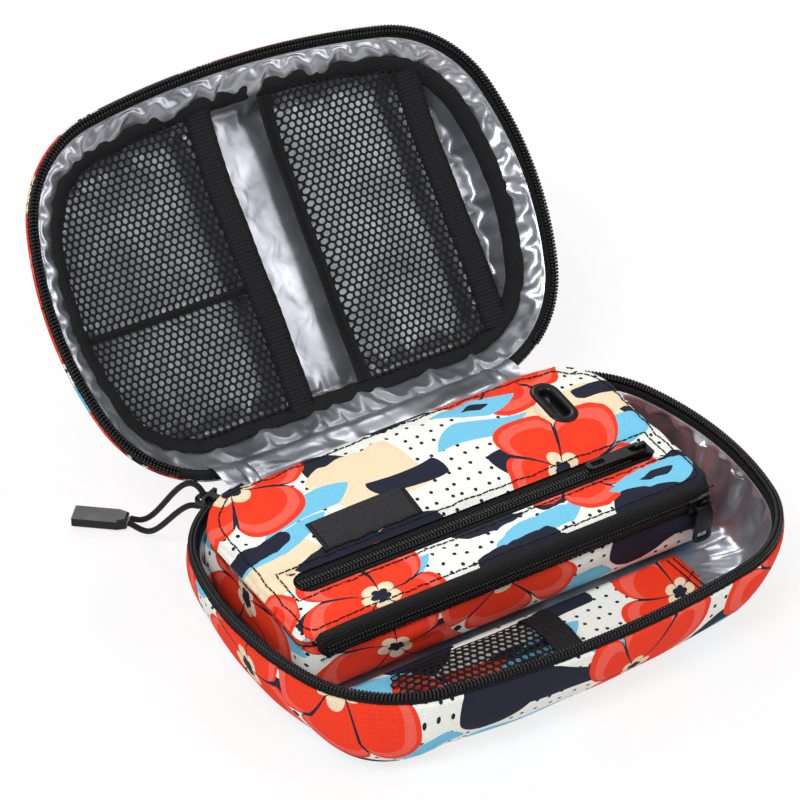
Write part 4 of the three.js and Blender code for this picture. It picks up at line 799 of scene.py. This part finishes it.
def pocket_level(x, y):
    """Height of the pockets' mesh over the lid's panel: held up at its bound edge, slack in the middle."""
    inset, toward_hinge = inset_at(x, y)
    held = exp(-max(inset - BOUND_INSET, 0) / 10)
    edge = BOUND_LEVEL - 5.0 * toward_hinge
    seam = 2.6 * exp(-((y - DIVIDER_Y) / 5) ** 2) * (x < -26) + 6.0 * exp(-((x - 15.5) / 4) ** 2) * (x > 5)
    slack = 15.8 + 0.6 * sin(x / 9 + y / 14) * sin(y / 11 - x / 17)
    return edge * held + (slack - seam) * (1 - held)


def lid_binding():
    """Ruffled tape that binds the lid's lining to its floor."""
    place, out = rim(TAPE_STEP)
    toward_hinge = np.clip(out[:, 1], 0, 1)
    run = run_of(ring(place, out, 16, 0))
    ruffle = waves(run[-1] + TAPE_STEP, (9, 14, 21, 40), 51)(run)
    rows = []
    for across, rise in BINDING_SECTION:
        z = BOUND_LEVEL - 5.2 * toward_hinge - 0.55 * across + rise + 0.5 * ruffle
        rows.append(ring(place, out, 15.8 + 1.2 * toward_hinge + across + 0.7 * ruffle, z))
    grid_piece("lid_seam_binding", rows, TAPE, "lid", "lid_binding", closed=True)


def hexagon_net(name, inside, height, xs, ys, body, nodes):
    """A knitted net of hexagonal gaps over a rectangle, kept where inside(x, y) holds."""
    radius = NET_PITCH / sqrt(3)
    radii = radius, radius - NET_CORD
    points, faces, index = [], [], {}

    def corner(x, y):
        key = (round(x * 50), round(y * 50))
        if key not in index:
            index[key] = len(points)
            points.append((x, y, height(x, y)))
        return index[key]

    turns = [(cos(a), sin(a)) for a in (radians(30 + 60 * k) for k in range(6))]
    for j in range(int((ys[1] - ys[0]) / (1.5 * radius)) + 2):
        for i in range(int((xs[1] - xs[0]) / NET_PITCH) + 2):
            x, y = xs[0] + (i + 0.5 * (j % 2)) * NET_PITCH, ys[0] + j * 1.5 * radius
            if not inside(x, y):
                continue
            outer, inner = ([corner(x + r * c, y + r * s) for c, s in turns] for r in radii)
            faces += [[outer[k], outer[(k + 1) % 6], inner[(k + 1) % 6], inner[k]] for k in range(6)]
    uv = [points[i][:2] for face in faces for i in face]
    thicken(make(name, FRAMES[body](points), faces, NET, body, nodes, uv), NET_THICKNESS, 0)


def lid_pocket(side, low, high, band):
    """A mesh pocket between two places along the lid, with an elastic band along its mouth."""
    def inside(x, y):
        return low < x < high and inset_at(x, y)[0] > 17
    hexagon_net(f"{side}_pocket_net", inside, pocket_level, (low, high), (-80, 80), "lid",
                f"{side}_pocket_mesh")
    ys = np.linspace(-78, 78, 150)
    ys = np.array([y for y in ys if min(inset_at(band - 6, y)[0], inset_at(band + 6, y)[0]) > 13.5])
    rows = []
    for x in np.linspace(-BAND_HALF, BAND_HALF, 11):
        hem = 0.55 * (1 - (x / BAND_HALF) ** 6)
        level = np.array([max(pocket_level(band + x, y), 15.2) for y in ys])
        gather = 0.16 * np.sin(ys / 0.9) * (0.4 + abs(x) / 9)
        rows.append(xyz(band + x + 0.6 * np.sin(ys / 24), ys, level + 0.6 + hem + gather))
    piece = grid_piece(f"{side}_pocket_elastic", rows, BAND, "lid", f"{side}_pocket_band")
    cut_from(piece, 2 * BAND_HALF + BAND_MARGIN, None, "stretched", "lid_seam_binding", thickness=1.0)
    for k, row in enumerate((1, 9)):
        stitch(f"{side}_elastic_stitch_{k}", rows[row] + [0, 0, 0.1], "lid", pitch=TAPE_PITCH)


def seam_tape(name, start, end, width, nodes):
    """A sewn tape pressing the mesh down along a line in the lid."""
    span = np.subtract(end, start).astype(float)
    middle = start + span * np.linspace(0, 1, 70)[:, None]
    across = unit(np.array([-span[1], span[0]]))
    rows = []
    for a in np.linspace(0, pi, 9):
        spots = middle + across * (width * cos(a))
        rows.append(xyz(*spots.T, [pocket_level(x, y) + 0.2 + 0.9 * sin(a) for x, y in spots]))
    grid_piece(name, rows, TAPE, "lid", nodes)
    stitch(name + "_stitch", rows[4] + [0, 0, 0.05], "lid", pitch=TAPE_PITCH)


lid_binding()
lid_pocket("left", -112, -24, -20)
lid_pocket("right", 16, 79, 83)
seam_tape("divider_seam", (-104, DIVIDER_Y), (-26, DIVIDER_Y), 1.5, "left_pocket_divider")
seam_tape("right_pocket_sewing", (13.6, -66), (13.6, 66), 4.0, "right_pocket_seam")


# Pen panel and pen sleeve on the base's floor
PEN_LEFT, PEN_RIGHT, PEN_FRONT, PEN_REAR = -100, 78, -63, -24
SLEEVE_Y, SLEEVE_HALF = -43.75, 15.8


def floor_level(x, y):
    """Height of the base's lining near its rounded edge, over the floor."""
    return WALL + 0.5 + 0.016 * max(30 - inset_at(x, y)[0], 0) ** 2


def panel_level(x, y):
    return max(8.2, floor_level(x, y) + 1.0)


def pen_panel():
    """Printed panel, cut to the rounded edge of the floor."""
    rows = []
    for y in np.linspace(PEN_FRONT, PEN_REAR, 22):
        fits = [x for x in np.linspace(PEN_LEFT, PEN_RIGHT, 357) if inset_at(x, y)[0] > 21]
        xs = np.linspace(min(fits), max(fits), 80)
        rows.append([(x, y, panel_level(x, y) + 0.25 * sin(x / 17 + y / 9)) for x in xs])
    rows = np.array(rows)
    piece = grid_piece("pen_panel_cloth", rows, PRINT, "base", "pen_panel", layout=rows[..., :2] + 930)
    cut_from(piece, PEN_RIGHT - PEN_LEFT, PEN_REAR - PEN_FRONT, "laid", "base_lining_cloth", thickness=0.9)
    for k, x in enumerate((72.8, 75.8)):
        edge = [(x, y, panel_level(x, y) + 0.35) for y in np.linspace(-55, -25.5, 30)]
        stitch(f"pen_panel_stitch_{k}", edge, "base")


def sleeve_level(x, y, extra=0.0):
    """Arched height of the pen sleeve."""
    share = min(abs(y - SLEEVE_Y) / SLEEVE_HALF, 1)
    near = min(1, max(0, (x + 70) / 14)) ** 0.6
    arch = sqrt(max(1 - share ** 2, 0)) ** 0.9
    return max(8.6, floor_level(x, y) + 1.2) + (5.0 + extra) * near * arch


def pen_sleeve():
    """Net sleeve over the panel, with an elastic band at its mouth."""
    def inside(x, y):
        return -69 < x < -4 and -58.4 < y < -29.1

    def height(x, y):
        return sleeve_level(x, y) + 0.2 * sin(x / 5 + y / 7)
    hexagon_net("pen_sleeve_net", inside, height, (-70, -4), (-60, -27), "base", "pen_pocket_mesh")
    ys = np.linspace(-59.6, -27.9, 50)
    gather = 0.2 * np.sin(ys / 1.3)
    rows = [xyz(x, ys, [sleeve_level(x, y, 0.5) for y in ys] + gather) for x in np.linspace(-5, 8, 9)]
    piece = grid_piece("pen_sleeve_elastic", rows, BAND, "base", "pen_pocket_band")
    cut_from(piece, 13 + BAND_MARGIN, None, "stretched", "pen_panel_cloth", thickness=0.7)
    for k, row in enumerate((1, 7)):
        stitch(f"pen_elastic_stitch_{k}", rows[row] + [0, 0, 0.15], "base", pitch=2.6)


pen_panel()
pen_sleeve()


# Pouch
POUCH_STEP, PRINT_SHIFT, SKIRT_PRINT = 2.5, (1290, 128), 1600
SIDE_COLUMNS, SLOT_COLUMNS = 8, 96
EDGE_ROUND, SKIRT_STEP = 4, 2.2
BODY_LOW, BODY_ROUND = 20, 13
SLOT_ROWS = np.array([-6.15, -5.6, -4.4, -3, -1.5, 0, 1.5, 3, 4.4, 5.6, 6.15])


def pouch_plan(step, left, right, front, rear, front_corner, rear_corner):
    """Outline of the pouch from its rear left corner, with the way out."""
    corners = ((left, rear, rear_corner, 90), (left, front, front_corner, 180),
               (right, front, front_corner, 270), (right, rear, rear_corner, 360))
    place, out = [], []
    for x, y, radius, start in corners:
        for a in np.radians(np.linspace(start, start + 90, 9)):
            normal = np.array([cos(a), sin(a)])
            place.append([x - copysign(radius, x), y - copysign(radius, y)] + normal * radius)
            out.append(normal)
    place, out = (np.array(v + v[:1]) for v in (place, out))
    run = run_of(place)
    at = np.linspace(0, run[-1], round(run[-1] / step), endpoint=False)
    return at_run(place, run, at), unit(at_run(out, run, at)), at


def pouch_body():
    """Padded body of the pouch, swollen between its seams and rounded into its floor."""
    place, out, run = pouch_plan(POUCH_STEP, *BODY_PLAN)
    soft = waves(run[-1] + POUCH_STEP, (120, 70, 45), 41)(run)
    tops = POUCH_SEAM + place[:, 1] * tan(POUCH_TILT) - 0.1
    rows = []
    for share in np.linspace(0, 1, 12):
        swell = 1.8 * sin(pi * share) * (0.5 + 0.9 * soft)
        rows.append(ring(place, out, -swell, tops + (BODY_LOW - tops) * share))
    for a in np.linspace(0.15, pi / 2, 8):
        rows.append(ring(place, out, BODY_ROUND - BODY_ROUND * cos(a), BODY_LOW - BODY_ROUND * sin(a)))
    rows = np.array(rows + drawn_in(rows[-1], (0.7, 0.4, 0.1))) + [POUCH_X, POUCH_Y, 0]
    faces, uv = grid_faces(rows, closed=True, cap=True)
    piece = make("pouch_canvas", rows, faces, PRINT, "pouch", "pouch_body", uv)


def top_level(x, y):
    """Height of the pouch's top over its seam frame: flat at the front zip, domed behind the pocket zip."""
    behind = np.clip((y - SLOT_Y - SLOT_HALF_Y) / (POUCH_REAR - SLOT_Y - SLOT_HALF_Y), 0, 1)
    before = np.clip((SLOT_Y - SLOT_HALF_Y - y) / (SLOT_Y - SLOT_HALF_Y - POUCH_FRONT), 0, 1)
    span = np.clip(1 - np.abs(x / 103) ** 3, 0, 1)
    dome = 7.5 * behind ** 1.2 * np.clip(1 - ((x - 10) / 112) ** 2, 0, 1)
    puff = 1.8 * np.sin(pi * behind) ** 0.8 + 1.0 * np.sin(pi * before) ** 0.8
    return PANEL_TOP + dome + span * puff


def droop(x):
    """How far the pouch's left end hangs at the front."""
    return 3.0 * np.clip((-x - 70) / 35, 0, 1) ** 2


def side_limit(y, sign):
    """End of the pouch's top at a depth, with its rounded corners."""
    limit = POUCH_RIGHT if sign > 0 else -POUCH_LEFT
    rear = np.clip(y - (POUCH_REAR - REAR_CORNER), 0, REAR_CORNER)
    front = np.clip(POUCH_FRONT + FRONT_CORNER - y, 0, FRONT_CORNER)
    for radius, past in ((REAR_CORNER, rear), (FRONT_CORNER, front)):
        limit = limit - (radius - np.sqrt(radius ** 2 - past ** 2))
    return sign * limit


def from_eyelet(points):
    """Distance in plan from the middle line of the oval eyelet."""
    along = np.clip(points[..., 1] - EYELET_Y, -EYELET_HALF, EYELET_HALF)
    return np.hypot(points[..., 0] - EYELET_X, points[..., 1] - EYELET_Y - along)


def top_rows():
    """Grid of the pouch's top, fitted to its slot and its rounded edges."""
    before = np.linspace(POUCH_FRONT, SLOT_Y - SLOT_HALF_Y, 13)
    behind = np.linspace(SLOT_Y + SLOT_HALF_Y, POUCH_REAR, 34)
    rows = []
    for y in (*before, *(SLOT_Y + SLOT_ROWS), *behind):
        left, right = side_limit(y, -1), side_limit(y, 1)
        span = min(SLOT_HALF_X, right - EDGE_ROUND, -left - EDGE_ROUND)
        middle = np.linspace(-span, span, SLOT_COLUMNS)
        if abs(y - SLOT_Y) < SLOT_HALF_Y:
            middle[[0, -1]] *= 1 - (SLOT_HALF_Y - sqrt(SLOT_HALF_Y ** 2 - (y - SLOT_Y) ** 2)) / span
        ends = (np.linspace(*limits, SIDE_COLUMNS + 1) for limits in ((left, -span), (span, right)))
        x = np.concatenate([next(ends)[:-1], middle, next(ends)[1:]])
        near = np.clip(np.minimum(np.minimum(x - left, right - x), POUCH_REAR - y), 0, EDGE_ROUND)
        drop = EDGE_ROUND - np.sqrt(EDGE_ROUND ** 2 - (EDGE_ROUND - near) ** 2)
        fall = droop(x) * np.clip((10 - y) / 50, 0, 1)
        rows.append(xyz(x, y, top_level(x, y) - drop - fall))
    return np.array(rows)


def pouch_top():
    """The top's cloth, pinned at its seams and let swell: gives the surface, for what is sewn on it."""
    rows = top_rows()
    middle = (rows[:-1, :-1] + rows[1:, 1:]) / 2
    slot = np.abs(middle[..., 1] - SLOT_Y) < SLOT_HALF_Y
    slot[:, :SIDE_COLUMNS] = slot[:, SIDE_COLUMNS + SLOT_COLUMNS - 1:] = False
    eye = from_eyelet(middle) < 4.6
    faces, uv = grid_faces(rows, keep=~(slot | eye), layout=rows[..., :2] + PRINT_SHIFT)
    rest = rows.reshape(-1, 3)
    index = np.arange(len(rest)).reshape(rows.shape[:2])
    edge = np.concatenate([index[0, :-1], index[:-1, -1], index[-1, :0:-1], index[:0:-1, 0]]).tolist()
    slot_edge = (np.abs(rest[:, 1] - SLOT_Y) < SLOT_HALF_Y + 0.1) & (np.abs(rest[:, 0]) < SLOT_HALF_X + 4)
    sewn = slot_edge | (from_eyelet(rest) < 9)
    sewn[edge] = True
    loose = settle(rest, faces, np.where(sewn)[0], 0.025, pressure=1.5, bend=1.0, cap=2.0)
    surface = BVHTree.FromPolygons(loose.tolist(), faces)
    skirt = loose[edge]
    points, loops, run = [loose], [edge], run_of(skirt)
    for drop in (0.4, 0.75, 1.0):
        lower = skirt.copy()
        lower[:, 2] += (PANEL_LOW - 0.2 - skirt[:, 2]) * drop
        front = lower[:, 1] < POUCH_FRONT + 0.1
        lower[front, 2] = np.maximum(lower[front, 2], skirt[front, 2] - 1.2)
        first = len(rest) + len(edge) * (len(loops) - 1)
        loops.append(list(range(first, first + len(edge))))
        points.append(lower)
    for depth, (upper, lower) in enumerate(zip(loops, loops[1:])):
        for k in range(len(edge)):
            n = (k + 1) % len(edge)
            faces.append([upper[n], upper[k], lower[k], lower[n]])
            v = depth * SKIRT_STEP + SKIRT_PRINT
            u, v = (run[k], run[k] + SKIRT_STEP), (v, v + SKIRT_STEP)
            uv += [(u[1], v[0]), (u[0], v[0]), (u[0], v[1]), (u[1], v[1])]
    points = in_pouch(np.concatenate(points))
    piece = make("pouch_top_canvas", points, faces, PRINT, "pouch", "pouch_top_panel", uv)
    return surface


pouch_body()
TOP = pouch_top()


def on_top(x, y):
    """Height of the pouch's finished top at a place."""
    hit = TOP.ray_cast(Vector((x, y, 60)), Vector((0, 0, -1)))
    return hit[0].z if hit[0] else float(top_level(x, y))


def lay_on_top(path, lift):
    return [(x, y, on_top(x, y) + lift) for x, y in path]


def pouch_gusset():
    """Side band between the top and the body, printed, on the sides and the rear."""
    low, high = (pouch_plan(POUCH_STEP, *plan)[0] for plan in (BODY_PLAN, TOP_PLAN))
    count = min(len(low), len(high))
    low, high = low[:count], high[:count]
    rows = [xyz(*(low + (high - low) * (t ** 1.5)).T, 0.1 + 5.5 * t) for t in np.linspace(0, 1, 7)]
    keep = np.array([[not (abs(x) < 94 and y < -40) for x, y in low]] * 6)
    grid_piece("pouch_gusset_canvas", rows, PRINT, "pouch", "pouch_gusset", closed=True, keep=keep)


def pouch_stitching():
    """Seam rows round the top's edge and round the pocket zip."""
    limits = (POUCH_LEFT + 4.5, POUCH_RIGHT - 4.5, POUCH_FRONT + 2.2, POUCH_REAR - 5, 5, REAR_CORNER - 4)
    stitch("pouch_edge_stitch", lay_on_top(pouch_plan(2.0, *limits)[0], 0.15), "pouch", closed=True)
    x, y = SLOT_HALF_X + 3.4, SLOT_HALF_Y + 2.6
    box, corners = [], [(-x, -y), (x, -y), (x, y), (-x, y)]
    for (xa, ya), (xb, yb) in zip(corners, corners[1:] + corners[:1]):
        for t in np.linspace(0, 1, 50, endpoint=False):
            box.append((xa + (xb - xa) * t, SLOT_Y + ya + (yb - ya) * t))
    stitch("pocket_zip_stitch", lay_on_top(box, 0.15), "pouch", closed=True)


POUCH_ZIP_PITCH, POCKET_ZIP_LEVEL, EDGE_ZIP_LEVEL = 2.4, 7.7, 2.8


def pocket_zip():
    """Zip set in the slot of the top: tape under the slot's edges and a closed coil."""
    xs = np.linspace(-SLOT_HALF_X - 3, SLOT_HALF_X + 3, 120)
    rows = [xyz(xs, SLOT_Y + y, POCKET_ZIP_LEVEL + 0.3 * (abs(y) < 3)) for y in np.linspace(-8.4, 8.4, 15)]
    grid_piece("pocket_zip_cloth", rows, TAPE, "pouch", "pocket_zip_tape")
    path = xyz(xs[3:-3], SLOT_Y, POCKET_ZIP_LEVEL)
    coil("pocket_zip_coil", path, "pouch", UP, 5.4, 1.5, "pocket_zip_chain")
    for k, y in enumerate((-4.0, 4.0)):
        path = xyz(xs, SLOT_Y + y, POCKET_ZIP_LEVEL + 0.15)
        stitch(f"pocket_tape_stitch_{k}", path, "pouch", pitch=POUCH_ZIP_PITCH)


EDGE_SECTION = ((-42.0, 8.4), (-43.6, 9.4), (-45.2, 9.1), (-46.6, 8.0), (-47.5, 6.3), (-47.9, 4.4),
                (-48.0, 2.8), (-47.9, 1.2), (-47.6, -0.6), (-47.2, -2.4), (-47.0, -3.6), (-46.4, -4.0))


def edge_zip():
    """Zip along the pouch's front: a wide tape rolled over the edge, with a closed coil on its face."""
    xs = np.linspace(-96, 98, 130)
    hang = droop(xs)
    tuck = np.clip((np.abs(xs) - 92) / 5, 0, 1) ** 2
    rows = []
    for y, z in EDGE_SECTION:
        level = z + (EDGE_ZIP_LEVEL - z) * 0.5 * tuck - hang * (0.75 if z > 5 else 0.2)
        rows.append(xyz(xs, y + 4 * tuck, level))
    grid_piece("edge_zip_cloth", rows, TAPE, "pouch", "edge_zip_tape", flip=True)
    path = xyz(xs, -47.6, EDGE_ZIP_LEVEL - 0.3 * hang)[2:-2]
    coil("edge_zip_coil", path, "pouch", FORWARD, 4.6, 1.6, "edge_zip_chain")
    for k, (y, z, up) in enumerate(((-47.0, 7.3, (0, -1.0, 0.3)), (-47.5, -1.2, FORWARD))):
        stitch(f"edge_tape_stitch_{k}", xyz(xs, y, z - hang * 0.4), "pouch", up, pitch=POUCH_ZIP_PITCH)


EYELET_SECTION = ((1.3, -0.5), (1.5, 0.2), (1.0, 0.75), (-0.3, 0.95), (-1.6, 0.8), (-2.4, 0.2),
                  (-2.7, -1.4), (-2.7, -4.4))


def eyelet():
    """Oval moulded eyelet: a low rounded flange and a throat."""
    turns = np.linspace(0, 2 * pi, 57)[:-1]
    out = xyz(np.cos(turns), np.sin(turns))
    plan = 5.4 * out + xyz(0, np.where(out[:, 1] >= 0, EYELET_HALF, -EYELET_HALF))
    beside = [on_top(EYELET_X + x, EYELET_Y + y) for x, y in ((8, 0), (-8, 0), (0, 14), (0, -14))]
    lean = np.array([(beside[0] - beside[1]) / 16, (beside[2] - beside[3]) / 28])
    flats = [(plan + out * reach, rise) for reach, rise in EYELET_SECTION]
    rows = [xyz(*flat.T, flat @ lean + rise) for flat, rise in flats]
    rows.append(xyz(*(0.02 * out).T, EYELET_SECTION[-1][1]))
    rows = np.array(rows) + [EYELET_X, EYELET_Y, sum(beside) / 4]
    grid_piece("eyelet", rows, MOULDED, "pouch", "grommet", closed=True, flip=True)


LABEL_LEFT, LABEL_RIGHT, LABEL_FRONT, LABEL_REAR, LABEL_LIFT = -67.5, -20.5, -5, 11, 0.75


def label():
    """Blank woven label, following the padded top, sewn at both ends."""
    xs, ys = np.linspace(LABEL_LEFT, LABEL_RIGHT, 34), np.linspace(LABEL_FRONT, LABEL_REAR, 14)
    points = [lay_on_top([(x, y) for x in xs], LABEL_LIFT) for y in ys]
    piece = grid_piece("label_cloth", points, LABEL, "pouch", "blank_label")
    cut_from(piece, 49, 17.5, "laid", "pouch_top_canvas", thickness=0.6)
    for k, x in enumerate((LABEL_LEFT + 1.5, LABEL_RIGHT - 1.5)):
        path = lay_on_top([(x, y) for y in np.linspace(LABEL_FRONT + 0.6, LABEL_REAR - 0.6, 14)], LABEL_LIFT)
        stitch(f"label_stitch_{k}", path, "pouch", pitch=2.2)


pouch_gusset()
pouch_stitching()
pocket_zip()
edge_zip()
eyelet()
label()


# Finishes of the solids that stay as they are
for entry in frame["record"]["subparts"]:
    solid = frame["nodes"][entry["node"]]
    solid.data.materials.clear()
    solid.data.materials.append(LOOKS[entry["material_slot"]])


# Stage and light
def pale_floor():
    """Pale board, white to the camera and in mirrors, that keeps the shadow."""
    material, add = new_look("pale_floor", Roughness=0.9, Base_Color=(0.84, 0.84, 0.84, 1))
    tree = material.node_tree
    rays = add("LightPath").node.outputs
    seen = add("Math", (rays["Is Camera Ray"], rays["Is Glossy Ray"]), operation="MAXIMUM")
    seen = add("Math", (seen, rays["Is Transmission Ray"]), operation="MAXIMUM")
    share = add("Math", (seen, 0.8), operation="MULTIPLY")
    white = add("Emission", {"Color": (1, 1, 1, 1), "Strength": 1.0})
    both = add("MixShader", (share, tree.nodes["Principled BSDF"].outputs[0], white))
    tree.links.new(both, tree.nodes["Material Output"].inputs["Surface"])
    return material


def stage():
    """Floor, three soft lamps and a sky that is brighter above."""
    mesh = bpy.data.meshes.new("floor")
    mesh.from_pydata([(x, y, -0.0005) for x, y in ((-6, -6), (6, -6), (6, 6), (-6, 6))], [], [(0, 1, 2, 3)])
    mesh.materials.append(pale_floor())
    floor = bpy.data.objects.new("floor", mesh)
    bpy.context.collection.objects.link(floor)
    world = bpy.data.worlds.new("studio")
    bpy.context.scene.world = world
    world.use_nodes = True
    tree = world.node_tree
    background = tree.nodes["Background"]
    background.inputs["Color"].default_value = (1, 1, 1, 1)
    up = node(tree, "SeparateXYZ", (node(tree, "TexCoord", (), "Generated"),), "Z")
    strength = node(tree, "MapRange", {"Value": up, "To Min": 0.12, "To Max": 0.62})
    tree.links.new(strength, background.inputs["Strength"])
    for name, place, size, power in LAMPS:
        data = bpy.data.lights.new(name, "AREA")
        data.size, data.energy = size, power
        aim(name, data, Vector(place), LIT_AT)
    bpy.context.scene.view_settings.view_transform = "Standard"


stage()
